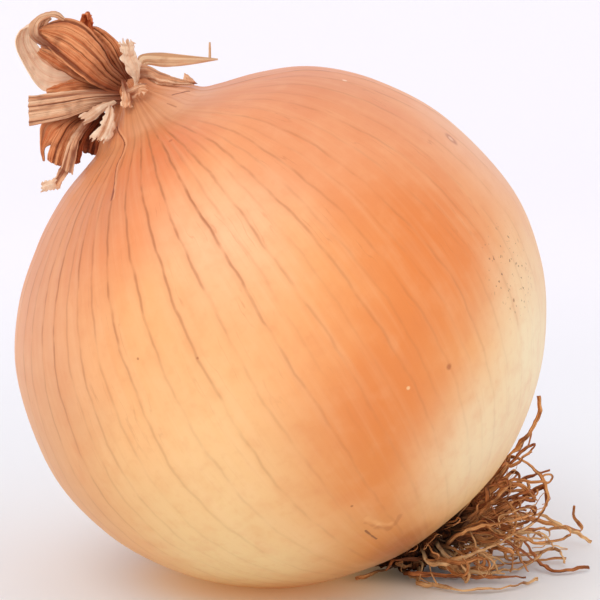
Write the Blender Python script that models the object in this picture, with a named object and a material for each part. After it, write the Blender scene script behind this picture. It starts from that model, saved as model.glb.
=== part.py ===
"""A yellow onion as picked: the bulb with its skin, the dried leaves at the neck, and the roots.

Lengths are in millimetres in the tables below and become metres through MM.  The onion lies on
the floor, z = 0, on a small flat spot whose middle is the origin.  Its axis leans towards -X.
"""

import math

import bmesh
import bpy
import numpy as np
from mathutils import Matrix, Vector

MM = 0.001

# The bulb: where its centre is above the flat spot, and how its neck leans.
BULB_CENTRE = Vector((2.3, 0.0, 40.7))
NECK_AXIS = Vector((-0.522, -0.026, 0.853)).normalized()
# Distance from the centre to the skin, at each angle down from the neck, in degrees.
BULB_PROFILE = [
    (8.5, 44.1), (11.4, 43.1), (14, 42.1), (18, 41.9), (27, 42.4), (38, 43.1), (52, 43.6),
    (68, 43.9), (88, 44.0), (104, 43.5), (118, 42.6), (132, 41.8), (148, 41.2), (164, 40.4),
        (174, 39.3),
]
NECK_RADIUS = 3.4
NECK_HEIGHT = 46.4
NECK_SHOULDER = 0.8
NECK_FLAT = 0.6  # of the neck's radius
ROOT_END = 38.6
BULB_RINGS = 30
BULB_SIDES = 48
WELD_DISTANCE = 0.01

# The root plate: the pale disc at the foot of the bulb that the roots grow from.
PLATE_RADIUS = 5.4
PLATE_THICKNESS = 1.5
PLATE_EDGE = 0.35
PLATE_SIDES = 24
RIM_ANGLE = 1.0
GAP = 0.3

# Dried leaves.
LEAF_THICKNESS = 0.32
LEAF_STATIONS = 9
LEAF_COLUMNS = 5

# Roots: where they leave the plate, how far apart they lie, and how much they narrow to the tip.
ROOT_CIRCLES = (0.45, 0.7, 0.95)  # of the plate's radius
ROOT_START_DEPTH = 0.6
ROOT_SPACING = 2.1
ROOT_CLEARANCE = 0.42
SKIN_CLEARANCE = 0.52
LOWEST_ROOT = 0.65
ROOT_TAPER = 0.45
SHORTEST_ROUTE = 5
# How the roots settle: places looked at in each step, rounds, and shares of each push.
DENSE = 4
SETTLE_ROUNDS = 160
PUSH_SHARE = 0.4
SMOOTH_SHARE = 0.1
SMALLEST_SQUARE = 1e-9

SKIN_ROUGHNESS = 0.4
DRY_ROUGHNESS = 0.8
CORK_ROUGHNESS = 0.9

SKIN = (0.80, 0.42, 0.17)
PLATE_BROWN = (0.30, 0.17, 0.08)
LEAF_BROWN = (0.58, 0.25, 0.10)
LEAF_DARK = (0.38, 0.13, 0.05)
LEAF_TAN = (0.66, 0.40, 0.20)
LEAF_PALE = (0.82, 0.58, 0.38)
ROOT_TAN = (0.45, 0.22, 0.09)

# Each dried leaf: its midrib from the neck outwards, its widths there, the way its width lies at
# its two ends, how deep its pleats are, and its colour.
LEAVES = {
    "leaf_fold_front": (
        [(-23.2, -2.9, 81.4), (-26.0, -3.3, 84.0), (-29.5, -3.8, 87.0), (-33.2, -4.0, 89.6),
         (-36.2, -3.4, 90.6)],
        [2.0, 5.0, 7.4, 6.8, 3.0], (0.6, 0, 0.8), (0.3, 0, 0.95), 0.25, LEAF_BROWN),
    "leaf_curl_strand": (
        [(-35.6, -5.3, 85.2), (-37.6, -5.6, 88.2), (-37.6, -5.6, 91.0), (-35.4, -5.4, 92.8),
         (-32.8, -5.2, 92.2)],
        [1.4, 1.6, 1.6, 1.4, 0.8], (0.9, 0.2, 0.4), (0.2, 0.3, 0.9), 0.0, LEAF_TAN),
    "leaf_back_dark": (
        [(-22.6, 1.3, 81.7), (-24.2, 2.6, 84.2), (-26.5, 3.2, 87.4), (-29.0, 3.4, 90.9)],
        [2.0, 4.6, 4.2, 1.0], (0.8, 0, 0.5), (0.9, 0, 0.4), 0.2, LEAF_DARK),
    "leaf_pale_cup": (
        [(-23.8, 0.3, 81.0), (-27.9, 0.9, 82.2), (-32.7, 1.2, 83.9), (-36.5, 0.6, 86.0),
         (-39.4, -0.6, 87.8)],
        [2.0, 5.0, 8.0, 8.0, 4.0], (0.1, 0, 1.0), (0.5, 0.2, 0.85), 0.15, LEAF_PALE),
    "leaf_ribbed_band": (
        [(-24.4, -4.0, 79.9), (-29.8, -4.4, 78.8), (-34.0, -4.8, 78.2), (-37.8, -5.0, 77.9)],
        [2.0, 4.2, 5.0, 5.2], (0.1, 0, 1.0), (0.0, 0, 1.0), 0.2, LEAF_TAN),
    "leaf_hanging_left": (
        [(-26.4, -2.8, 78.6), (-31.5, -3.4, 76.4), (-34.6, -3.6, 73.4), (-36.0, -3.3, 69.6)],
        [1.8, 3.2, 3.4, 2.4], (0.4, 0, 0.9), (0.9, 0, 0.3), 0.2, LEAF_BROWN),
    "leaf_hanging_middle": (
        [(-26.6, -1.3, 77.8), (-30.2, -1.5, 74.8), (-32.7, -1.8, 71.3), (-33.5, -1.7, 68.6)],
        [1.8, 3.0, 3.2, 2.4], (0.6, 0, 0.8), (1.0, 0, 0.1), 0.2, LEAF_DARK),
    "leaf_hanging_right": (
        [(-27.0, 0.5, 77.6), (-29.2, 0.7, 74.6), (-30.6, 0.9, 71.4)],
        [1.6, 3.2, 3.4], (0.7, 0, 0.7), (1.0, 0, 0.1), 0.2, LEAF_DARK),
    "leaf_hanging_behind": (
        [(-26.8, 1.9, 78.6), (-30.5, 2.8, 75.6), (-32.6, 3.2, 71.6), (-32.4, 3.0, 68.0)],
        [1.8, 3.4, 3.6, 2.2], (0.6, 0, 0.8), (1.0, 0, 0.1), 0.2, LEAF_BROWN),
    "leaf_dangling_strip": (
        [(-29.2, -5.6, 76.0), (-30.6, -6.0, 72.9), (-31.8, -6.1, 69.2), (-33.3, -5.8, 67.0),
         (-36.0, -5.4, 65.0)],
        [1.4, 1.7, 1.6, 1.4, 2.2], (0.9, 0.2, 0.3), (0.4, 0.2, 0.9), 0.0, LEAF_TAN),
    "leaf_upright_flake": (
        [(-21.3, -5.2, 82.2), (-21.2, -5.7, 84.6), (-22.0, -6.0, 87.3), (-23.2, -6.0, 89.9)],
        [1.8, 2.4, 1.8, 0.9], (1.0, 0, 0.1), (0.9, 0.2, 0.2), 0.1, LEAF_PALE),
    "leaf_star_flake": (
        [(-22.9, -6.2, 81.4), (-21.9, -7.0, 79.8), (-21.9, -7.8, 78.0)],
        [1.6, 3.4, 1.6], (1.0, 0, 0.3), (1.0, 0, 0.0), 0.1, LEAF_PALE),
    "leaf_torn_band": (
        [(-25.4, -5.6, 79.5), (-27.4, -6.2, 78.0), (-30.3, -6.9, 76.4)],
        [1.2, 1.8, 1.6], (0.5, 0, 0.9), (0.4, 0, 0.9), 0.1, LEAF_PALE),
    "leaf_jagged_flake": (
        [(-25.1, -7.1, 78.2), (-26.2, -7.6, 75.4), (-27.8, -7.6, 72.7)],
        [1.4, 2.6, 2.8], (1.0, 0, 0.2), (0.8, 0, -0.6), 0.1, LEAF_PALE),
    "leaf_pointed_blade": (
        [(-21.2, 2.6, 82.0), (-21.9, 4.2, 83.9), (-20.0, 5.2, 84.9), (-14.6, 6.0, 84.9),
         (-8.6, 6.5, 84.4)],
        [1.4, 1.8, 2.2, 2.2, 0.6], (0.9, 0.2, -0.4), (0.0, 0.3, 1.0), 0.1, LEAF_TAN),
    "leaf_twisted_shred": (
        [(-20.6, -1.6, 83.2), (-19.6, -2.0, 84.2), (-17.6, -2.3, 83.6), (-15.2, -2.3, 82.9),
         (-12.6, -1.6, 83.0)],
        [2.0, 2.2, 1.9, 1.4, 0.7], (0.7, 0.3, 0.6), (0.0, 0.5, 0.8), 0.1, LEAF_BROWN),
}

# Each root: the places it passes on its way out from the root plate, and its thickness.
ROOTS = [
    ("climber_front", [(29.5, 4.5, 5.5), (33.5, 6, 9), (37.5, 5.5, 15.5), (39.6, 5, 19),
                       (41.4, 4, 21.4),
                       (43.2, 3, 24), (44.4, 2, 27), (44.2, 1, 30)], 1.0),
    ("loop_high", [(31, 6, 5), (36, 9, 10.5), (38.5, 9, 16.5), (41, 8, 18.2), (43.5, 7, 17),
                   (45.8, 6, 14.5),
                   (46.4, 5, 11.5), (44.8, 4, 9.2), (42, 3, 8.5)], 0.9),
    ("blunt_end", [(30, 8, 4), (33.5, 10, 7), (38.7, 11, 10), (42.8, 10, 13.7),
                   (47, 8, 15.7)], 1.1),
    ("long_right", [(30, 9, 3), (35.5, 12, 4.2), (40.7, 14, 6), (45, 15, 6.2), (49.4, 16, 4.2),
                    (53.4, 17, 1.9),
                    (55.2, 17.3, 0.7)], 0.9),
    ("hooked_right", [(33.8, 13, 2.5), (42.5, 18.5, 4.4), (49.7, 19, 3), (53.7, 19, 2.2),
                      (52.6, 18.2, 4.5),
                      (52.2, 17.8, 7)], 0.8),
    ("low_right", [(30, 2, 4.5), (34.8, 3, 7.6), (39, 4, 6), (41.7, 4.5, 3.8), (44, 3.5, 1.4),
                   (45.7, 1, 0.7),
                   (48, -0.5, 0.7), (53, 1.5, 0.9)], 1.1),
    ("arc_right", [(31, 5, 1.5), (38.6, 8, 0.8), (45.4, 8.5, 1.2), (47.6, 8.6, 1.9), (48.9, 7, 1.6),
                   (49.2, 4, 0.8)], 0.8),
    ("front_left", [(26.5, -1, 3.2), (25, -3.4, 3), (22, -3.8, 2.2), (17.5, -3.8, 1.2),
                    (14, -5.5, 0.7)], 0.9),
    ("front_turn", [(25.3, -2, 2.8), (22.6, -5, 2.2), (24.4, -7, 1.3), (29.6, -6, 0.9),
                    (36, -6, 0.8),
                    (42.3, -5.6, 0.9)], 0.9),
    ("front_bow", [(25.0, -3, 2.2), (24.6, -7, 0.9), (28.4, -9.4, 0.7), (32.5, -11.2, 0.7),
                   (38.9, -9.4, 0.7),
                   (43.8, -5, 0.7)], 0.9),
    ("fan_front_high", [(28, -3, 5.2), (29.6, -4.6, 7.2), (32.8, -4.8, 8.9), (39.2, -3.6, 9.9),
                        (43.6, 0, 10.4)], 0.9),
    ("fan_front_low", [(26, -5, 3), (32.6, -5.4, 4.8), (39.3, -3.6, 7.3), (44, 0.5, 8.8)], 0.9),
    ("drop_front", [(31.5, 4, 6.6), (35, 4.6, 9.4), (38.9, 2.6, 11.6), (40.6, 1.4, 9.6),
                    (40.4, 0, 4.9),
                    (39.8, -2, 0.9)], 0.9),
    ("drop_middle", [(33, 5, 4), (38.4, 6, 7), (41.4, 5, 4.2), (42, 3, 1.6),
                     (42.6, -1.5, 0.9)], 0.9),
    ("curl_front", [(26.5, -3, 3.2), (24, -5, 3.7), (22.2, -6.5, 4.1), (20.2, -7.4, 4.2),
                    (18.8, -7.2, 2.8)], 0.8),
    ("fan_a", [(29, 1, 5.5), (33, 1, 9), (37, 0, 13), (39.8, -0.5, 16)], 1.0),
    ("fan_b", [(30, 3, 5), (34, 3, 10.5), (37.5, 2.4, 14.5), (41.5, 2, 14.6), (44.4, 2, 12)], 1.0),
    ("fan_c", [(28.5, -1, 5), (32, -2, 7), (36, -2.2, 7.6), (40, -2, 5.5), (43.6, -2.2, 3)], 0.9),
    ("back_long", [(27, 5, 3.5), (28, 9, 3), (30, 14, 2.2), (34, 19, 1.2), (39, 23, 0.8)], 1.0),
    ("back_left", [(25, 6, 3), (24, 10, 3), (22, 15, 1.8), (18, 19, 0.8)], 0.9),
    ("back_right", [(28, 7, 3), (32, 12, 2.5), (38, 20.5, 2), (44, 24, 1.2), (48, 26, 0.8)], 0.9),
    ("back_wavy", [(26, 6, 2.5), (26.6, 11, 1.4), (25, 17, 0.8), (27, 22, 0.8),
                   (31, 26, 0.8)], 0.9),
    ("climber_back", [(29, 8, 5), (32, 13, 9), (33.8, 16, 14), (35, 17, 19)], 0.9),
    ("climber_side", [(31, 8, 6), (35.5, 12, 12), (38.4, 13, 17), (40.8, 12, 20.5)], 1.0),
    ("floor_middle", [(29, 2, 1.5), (34, 1, 0.9), (39, 3, 0.8), (44, 5.5, 0.8),
                      (50, 6.5, 0.8)], 0.9),
    ("floor_front", [(28, -1, 2), (32, -2.5, 1), (37, -1.5, 0.8), (41, 1, 0.8),
                     (46, 2.8, 1.6)], 0.9),
    ("loop_back", [(32, 7, 3), (38, 10.5, 6.5), (43, 12, 9.8), (46.4, 11, 12), (46, 9.6, 8),
                   (42, 9, 4.6)], 0.9),
    ("tick_high", [(33, 9, 7), (37, 9.5, 13.5), (40.6, 8.6, 17), (43, 7, 20.2),
                   (43.4, 5.6, 22.8)], 0.8),
    ("back_under", [(23, 5, 2.5), (20, 9, 2), (15, 12, 0.8)], 0.8),
    ("under_bulb", [(24, 1, 2.2), (20.5, 1.5, 1.4), (16.6, 2.5, 0.8)], 0.8),
]


def clear_objects():
    for ob in list(bpy.data.objects):
        bpy.data.objects.remove(ob, do_unlink=True)


def material(name, colour, roughness):
    mat = bpy.data.materials.new(name)
    mat.use_nodes = True
    shader = mat.node_tree.nodes["Principled BSDF"]
    shader.inputs["Base Color"].default_value = (*colour, 1.0)
    shader.inputs["Roughness"].default_value = roughness
    shader.inputs["Metallic"].default_value = 0.0
    return mat


def add_object(name, data, colour, roughness):
    ob = bpy.data.objects.new(name, data)
    bpy.context.scene.collection.objects.link(ob)
    data.materials.append(material(name, colour, roughness))
    return ob


def smooth_through(points, count):
    """count places along a Catmull-Rom curve through the points."""
    pts = np.asarray(points, dtype=float)
    padded = np.vstack([2 * pts[0] - pts[1], pts, 2 * pts[-1] - pts[-2]])
    out = []
    for t in np.linspace(0, len(pts) - 1, count):
        i = min(int(t), len(pts) - 2)
        u = t - i
        a, b, c, d = padded[i:i + 4]
        out.append(0.5 * (2 * b + (c - a) * u + (2 * a - 5 * b + 4 * c - d) * u**2
                          + (3 * b - a - 3 * c + d) * u**3))
    return np.array(out)


def skin_distance(angle):
    """Distance from the bulb's centre to its skin, at an angle in degrees from the neck axis."""
    table = np.array([*BULB_PROFILE, (180, ROOT_END)])
    return np.interp(angle, table[:, 0], table[:, 1])


def axis_turn():
    """The turn that lays the bulb's upright axis along NECK_AXIS."""
    return Vector((0, 0, 1)).rotation_difference(NECK_AXIS).to_matrix().to_4x4()


def cut_flat_below(mesh, height):
    """Cuts off what is below the height, and closes the cut with one flat face."""
    geom = mesh.verts[:] + mesh.edges[:] + mesh.faces[:]
    cut = bmesh.ops.bisect_plane(mesh, geom=geom, plane_co=(0, 0, height), plane_no=(0, 0, 1),
                                 clear_inner=True)
    edges = [e for e in cut["geom_cut"] if isinstance(e, bmesh.types.BMEdge)]
    bmesh.ops.edgeloop_fill(mesh, edges=edges)


def make_bulb():
    """The bulb and its gathered neck, turned on their axis and cut flat where they rest."""
    rings = smooth_through([(a, r) for a, r in BULB_PROFILE], BULB_RINGS)
    outline = [Vector((0, 0, NECK_HEIGHT)), Vector((NECK_RADIUS * NECK_FLAT, 0, NECK_HEIGHT))]
    outline.append(Vector((NECK_RADIUS, 0, NECK_HEIGHT - NECK_SHOULDER)))
    for angle, distance in rings:
        a = math.radians(angle)
        outline.append(Vector((distance * math.sin(a), 0, distance * math.cos(a))))
    outline.append(Vector((0, 0, -ROOT_END)))

    mesh = bmesh.new()
    verts = [mesh.verts.new(p * MM) for p in outline]
    edges = [mesh.edges.new(pair) for pair in zip(verts, verts[1:])]
    bmesh.ops.spin(mesh, geom=verts + edges, cent=(0, 0, 0), axis=(0, 0, 1), angle=2 * math.pi,
                   steps=BULB_SIDES)
    bmesh.ops.remove_doubles(mesh, verts=mesh.verts, dist=WELD_DISTANCE * MM)
    bmesh.ops.transform(mesh, matrix=Matrix.Translation(BULB_CENTRE * MM) @ axis_turn(),
                        verts=mesh.verts)
    cut_flat_below(mesh, 0.0)
    bmesh.ops.recalc_face_normals(mesh, faces=mesh.faces)
    data = bpy.data.meshes.new("bulb")
    mesh.to_mesh(data)
    mesh.free()
    data.shade_smooth()
    add_object("bulb", data, SKIN, SKIN_ROUGHNESS)


def plate_middle():
    """The middle of the bulb's root end."""
    return BULB_CENTRE - NECK_AXIS * ROOT_END


def make_root_plate():
    """The disc under the bulb that the roots grow from, its rim rounded."""
    mesh = bmesh.new()
    bmesh.ops.create_cone(mesh, cap_ends=True, segments=PLATE_SIDES, radius1=PLATE_RADIUS * MM,
                          radius2=PLATE_RADIUS * MM, depth=PLATE_THICKNESS * MM)
    rims = [e for e in mesh.edges if len(e.link_faces) == 2 and e.calc_face_angle() > RIM_ANGLE]
    bmesh.ops.bevel(mesh, geom=rims, offset=PLATE_EDGE * MM, segments=1, affect="EDGES")
    place = plate_middle() - NECK_AXIS * (2 * GAP + PLATE_THICKNESS / 2)
    bmesh.ops.transform(mesh, matrix=Matrix.Translation(place * MM) @ axis_turn(), verts=mesh.verts)
    data = bpy.data.meshes.new("root_plate")
    mesh.to_mesh(data)
    mesh.free()
    add_object("root_plate", data, PLATE_BROWN, CORK_ROUGHNESS)


def make_leaf(name, midrib, widths, across_base, across_tip, pleat, colour):
    """One dried leaf: a pleated strip along its midrib, given its thickness."""
    places = smooth_through(midrib, LEAF_STATIONS)
    spans = smooth_through([(w, 0, 0) for w in widths], LEAF_STATIONS)[:, 0]
    mesh = bmesh.new()
    rows = []
    for i, (place, span) in enumerate(zip(places, spans)):
        ahead = Vector(places[min(i + 1, LEAF_STATIONS - 1)] - places[max(i - 1, 0)]).normalized()
        across = Vector(across_base).lerp(Vector(across_tip), i / (LEAF_STATIONS - 1))
        across = (across - ahead * across.dot(ahead)).normalized()
        face = ahead.cross(across)
        row = []
        for j in range(LEAF_COLUMNS):
            side = j / (LEAF_COLUMNS - 1) - 0.5
            lift = pleat if j % 2 else -pleat
            row.append(mesh.verts.new((Vector(place) + across * side * span + face * lift) * MM))
        rows.append(row)
    for low, high in zip(rows, rows[1:]):
        for j in range(LEAF_COLUMNS - 1):
            mesh.faces.new((low[j], low[j + 1], high[j + 1], high[j]))
    data = bpy.data.meshes.new(name)
    mesh.to_mesh(data)
    mesh.free()
    leaf = add_object(name, data, colour, DRY_ROUGHNESS)
    wall = leaf.modifiers.new("thickness", "SOLIDIFY")
    wall.thickness = LEAF_THICKNESS * MM
    wall.offset = 0.0


def root_start(first_place, order):
    """Where a root leaves the plate: under the plate, on the side that the root heads for."""
    middle = np.array(plate_middle())
    down = -np.array(NECK_AXIS)
    aside = np.array(first_place) - middle
    aside = aside - down * aside.dot(down)
    aside = aside / np.linalg.norm(aside)
    reach = PLATE_RADIUS * ROOT_CIRCLES[order % len(ROOT_CIRCLES)]
    return middle + down * (3 * GAP + PLATE_THICKNESS + ROOT_START_DEPTH) + aside * reach


def settle(routes, radii):
    """Moves the roots' places apart until no root is in another, in the bulb,
        the plate or the floor."""
    middle, centre, axis = np.array(plate_middle()), np.array(BULB_CENTRE), np.array(NECK_AXIS)
    sizes = [len(r) for r in routes]
    ends = np.cumsum(sizes)[:-1]
    start = np.vstack(routes)
    places = start.copy()
    weights, owner, thick = [], [], []
    first = 0
    for k, size in enumerate(sizes):
        for t in np.linspace(0, size - 1, (size - 1) * DENSE + 1):
            i = min(int(t), size - 2)
            row = np.zeros(len(places))
            row[first + i], row[first + i + 1] = 1 - (t - i), t - i
            weights.append(row)
            owner.append(k)
            thick.append(radii[k])
        first += size
    weights, owner, thick = np.array(weights), np.array(owner), np.array(thick)
    share = weights.sum(axis=0)[:, None]
    apart = thick[:, None] + thick[None, :] + ROOT_CLEARANCE
    apart[owner[:, None] == owner[None, :]] = 0
    for _ in range(SETTLE_ROUNDS):
        dense = weights @ places
        square = (dense**2).sum(axis=1)
        away = np.sqrt(np.clip(square[:, None] + square[None, :] - 2 * dense @ dense.T,
                               SMALLEST_SQUARE, None))
        pull = np.clip(apart - away, 0, None) / away
        push = (dense * pull.sum(axis=1)[:, None] - pull @ dense) * PUSH_SHARE
        spoke = dense - centre
        length = np.linalg.norm(spoke, axis=1)
        angle = np.degrees(np.arccos(np.clip(spoke @ axis / length, -1, 1)))
        inside = np.clip(skin_distance(angle) + thick + SKIN_CLEARANCE - length, 0, None)
        push += spoke / length[:, None] * inside[:, None]
        drop = (dense - middle) @ -axis
        radial = np.linalg.norm(dense - middle + axis * drop[:, None], axis=1)
        floor_of_plate = 2 * GAP + PLATE_THICKNESS + ROOT_CLEARANCE
        near = radial < PLATE_RADIUS + thick + ROOT_CLEARANCE
        under = np.where(near, np.clip(floor_of_plate + thick - drop, 0, None), 0)
        push -= axis * under[:, None]
        shift = places + weights.T @ push / share - start
        for run in np.split(shift, ends):
            run[1:-1] += SMOOTH_SHARE * (run[:-2] + run[2:] - 2 * run[1:-1])
        places = start + shift
        places[:, 2] = np.maximum(places[:, 2], LOWEST_ROOT)
    return np.split(places, ends)


def root_routes():
    """Every root's route, from the plate to its tip,
        after the roots have settled round each other."""
    routes, radii = [], []
    for order, (_, places, thickness) in enumerate(ROOTS):
        whole = [root_start(places[0], order), *places]
        length = sum(math.dist(a, b) for a, b in zip(whole, whole[1:]))
        routes.append(smooth_through(whole, max(SHORTEST_ROUTE, round(length / ROOT_SPACING))))
        radii.append(thickness / 2)
    return settle(routes, radii)


def make_roots():
    """The roots: dry cords, each tapering to its tip."""
    for (name, _, thickness), route in zip(ROOTS, root_routes()):
        data = bpy.data.curves.new("root_" + name, "CURVE")
        data.dimensions = "3D"
        data.bevel_depth = thickness / 2 * MM
        data.bevel_resolution = 1
        data.render_resolution_u = 0
        data.use_fill_caps = True
        spline = data.splines.new("POLY")
        spline.points.add(len(route) - 1)
        for i, (point, place) in enumerate(zip(spline.points, route)):
            point.co = (*(Vector(place) * MM), 1.0)
            point.radius = 1.0 - ROOT_TAPER * (i / (len(route) - 1)) ** 2
        add_object("root_" + name, data, ROOT_TAN, DRY_ROUGHNESS)


clear_objects()
make_bulb()
make_root_plate()
for leaf_name, leaf_facts in LEAVES.items():
    make_leaf(leaf_name, *leaf_facts)
make_roots()
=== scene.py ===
"""The looks of a yellow onion: its veined skin, the dried leaves at its neck, and its roots."""

import math

import bpy
import numpy as np
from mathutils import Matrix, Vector, noise


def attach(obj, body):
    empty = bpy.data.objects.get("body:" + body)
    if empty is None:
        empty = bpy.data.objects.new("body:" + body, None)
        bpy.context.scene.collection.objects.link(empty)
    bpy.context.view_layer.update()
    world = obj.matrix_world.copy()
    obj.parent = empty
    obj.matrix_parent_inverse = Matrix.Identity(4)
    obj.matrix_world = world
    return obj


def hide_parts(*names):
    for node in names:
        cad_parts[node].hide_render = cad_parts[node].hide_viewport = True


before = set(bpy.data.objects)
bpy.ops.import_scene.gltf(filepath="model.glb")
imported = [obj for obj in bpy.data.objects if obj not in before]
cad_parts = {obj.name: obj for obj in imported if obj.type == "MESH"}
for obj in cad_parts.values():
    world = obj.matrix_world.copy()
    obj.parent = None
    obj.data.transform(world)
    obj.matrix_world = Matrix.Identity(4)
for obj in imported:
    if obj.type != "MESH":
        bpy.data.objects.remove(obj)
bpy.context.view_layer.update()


# ---- Camera ----
# It stands 0.41 m in front of the bulb, a little to its right, and looks down at it slightly through
# a long lens.

MM = 0.001
BULB_CENTRE = Vector((2.3, 0.0, 40.7)) * MM
VIEW_TILT = math.radians(10)
VIEW_DISTANCE = 408 * MM
VIEW_RIGHT = 2.65 * MM
VIEW_UP = 5.4 * MM
VIEW_LENS = 150
NEAREST_SEEN = 10 * MM

ahead = Vector((0, math.cos(VIEW_TILT), -math.sin(VIEW_TILT)))
upward = Vector((0, math.sin(VIEW_TILT), math.cos(VIEW_TILT)))
bpy.ops.object.camera_add(
    location=BULB_CENTRE + Vector((VIEW_RIGHT, 0, 0)) + upward * VIEW_UP - ahead * VIEW_DISTANCE,
    rotation=(math.pi / 2 - VIEW_TILT, 0, 0))
camera = bpy.context.object
camera.data.lens = VIEW_LENS
camera.data.clip_start = NEAREST_SEEN
bpy.context.scene.camera = camera


# ---- Studio ----
# A pale paper floor that sweeps up behind, a bright even room, and two soft lamps at the front left.
# Where the onion rests, the paper has painted into it the onion's warm light, its shade, its roots' shade and
# a glow.

def rgb(red, green, blue):
    """A colour given as 0 to 255 on screen, as the light value that a shader takes."""
    values = [c / 255 for c in (red, green, blue)]
    return (*(c / 12.92 if c <= 0.04045 else ((c + 0.055) / 1.055) ** 2.4 for c in values), 1.0)


FLOOR_HALF = 1.6
SWEEP_START = 1.0
SWEEP_HEIGHT = 1.6
SWEEP_RADIUS = 0.5
SWEEP_STEPS = 24
TOUCHING = 1e-5
PAPER_NEAR = rgb(234, 237, 238)
PAPER_FAR = rgb(254, 252, 255)
NEAR_ENDS, FAR_STARTS = -0.05, 0.38
# Where the painted shade of the roots and the painted glow in front of them are centred.
ROOT_SHADE_AT = (0.019, 0.005, 0.0)
FRONT_GLOW_AT = (0.022, -0.014, 0.0)
GLOW_COLOUR = rgb(255, 210, 140)
ROOM_COLOUR = rgb(252, 250, 255)
ROOM_LIGHT = 0.93

bpy.ops.object.select_all(action="DESELECT")
bpy.ops.mesh.primitive_plane_add(size=1, location=(0, 0, 0))
floor = bpy.context.object
floor.name = "floor"
for v in floor.data.vertices:
    v.co = (v.co.x * 2 * FLOOR_HALF, SWEEP_START if v.co.y > 0 else -FLOOR_HALF, 0)


def select_floor_edges(chosen):
    """Selects the floor's edges both of whose ends are where chosen says, and no others."""
    for e in floor.data.edges:
        e.select = all(chosen(floor.data.vertices[i].co) for i in e.vertices)


bpy.ops.object.mode_set(mode="EDIT")
bpy.ops.mesh.select_mode(type="EDGE")
bpy.ops.mesh.select_all(action="DESELECT")
bpy.ops.object.mode_set(mode="OBJECT")
select_floor_edges(lambda co: abs(co.y - SWEEP_START) < TOUCHING)
bpy.ops.object.mode_set(mode="EDIT")
bpy.ops.mesh.extrude_region_move(TRANSFORM_OT_translate={"value": (0, 0, SWEEP_HEIGHT)})
bpy.ops.object.mode_set(mode="OBJECT")
select_floor_edges(lambda co: abs(co.y - SWEEP_START) < TOUCHING and abs(co.z) < TOUCHING)
bpy.ops.object.mode_set(mode="EDIT")
bpy.ops.mesh.bevel(offset=SWEEP_RADIUS, segments=SWEEP_STEPS)
bpy.ops.object.mode_set(mode="OBJECT")
bpy.ops.object.shade_smooth()


class Sock:
    """A node's socket, so that a material is written as an expression on values and colours."""

    def __init__(self, tree, socket):
        self.tree, self.socket = tree, socket

    def node(self, kind, settings=None, out=0, **inputs):
        """A new node of a kind, its settings, and its inputs by name, or by number as i0, i1 and so on."""
        made = self.tree.nodes.new("ShaderNode" + kind)
        settings = dict(settings or {})
        stops = settings.pop("stops", None)
        for key, value in settings.items():
            setattr(made, key, value)
        if stops:
            ramp = made.color_ramp.elements
            while len(ramp) < len(stops):
                ramp.new(0.5)
            for element, (position, colour) in zip(ramp, stops):
                element.position = position
                element.color = colour
        for key, value in inputs.items():
            index = int(key[1:]) if key[1:].isdigit() else key.replace("_", " ")
            if isinstance(value, Sock):
                self.tree.links.new(value.socket, made.inputs[index])
            else:
                made.inputs[index].default_value = value
        return Sock(self.tree, made.outputs[out])

    def math(self, operation, *others, clamp=False):
        """A Math node whose first input is this value."""
        values = {f"i{i}": value for i, value in enumerate((self, *others))}
        return self.node("Math", {"operation": operation, "use_clamp": clamp}, **values)

    def __add__(self, other): return self.math("ADD", other)
    __radd__ = __add__
    def __mul__(self, other): return self.math("MULTIPLY", other)
    __rmul__ = __mul__
    def __sub__(self, other): return self.math("SUBTRACT", other)
    def __rsub__(self, other): return self.node("Math", {"operation": "SUBTRACT"}, i0=other, i1=self)
    def __abs__(self): return self.math("ABSOLUTE")

    def vector(self, operation, *others, out=0, **named):
        """A Vector Math node whose first input is this place, out being 1 where it gives a number."""
        values = {f"i{i}": value for i, value in enumerate((self, *others))}
        return self.node("VectorMath", {"operation": operation}, out=out, **values, **named)

    def distance(self, other):
        """How far this place is from another."""
        return self.vector("DISTANCE", other, out=1)

    def within(self, low, high):
        """0 below low, 1 above high, smooth between."""
        return self.node("MapRange", {"interpolation_type": "SMOOTHSTEP"}, Value=self,
                         From_Min=low, From_Max=high, To_Min=0.0, To_Max=1.0)

    def mix(self, first, second):
        """The colour first where this value is 0, and second where it is 1."""
        return self.node("Mix", {"data_type": "RGBA"}, out=2, i0=self, i6=first, i7=second)

    def noise(self, scale, detail=2.0, roughness=0.5):
        """Noise of about 0 to 1 at this place, scale being in lumps for each unit."""
        return self.node("TexNoise", Vector=self, Scale=scale, Detail=detail, Roughness=roughness)

    def parts(self):
        """The three numbers of a place."""
        return [self.node("SeparateXYZ", out=i, Vector=self) for i in range(3)]


def new_material(name, roughness, specular):
    """A new material, its shader, and a Sock on its tree to make the first nodes from."""
    mat = bpy.data.materials.new(name)
    mat.use_nodes = True
    shader = mat.node_tree.nodes["Principled BSDF"]
    shader.inputs["Roughness"].default_value = roughness
    shader.inputs["Specular IOR Level"].default_value = specular
    return mat, shader, Sock(mat.node_tree, None)


def feed(shader, socket, value):
    """Links a value to one of the shader's inputs."""
    value.tree.links.new(value.socket, shader.inputs[socket])


def place_of(maker):
    """The place on the piece, in metres, in the object's own frame."""
    return maker.node("TexCoord", out=3)


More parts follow.
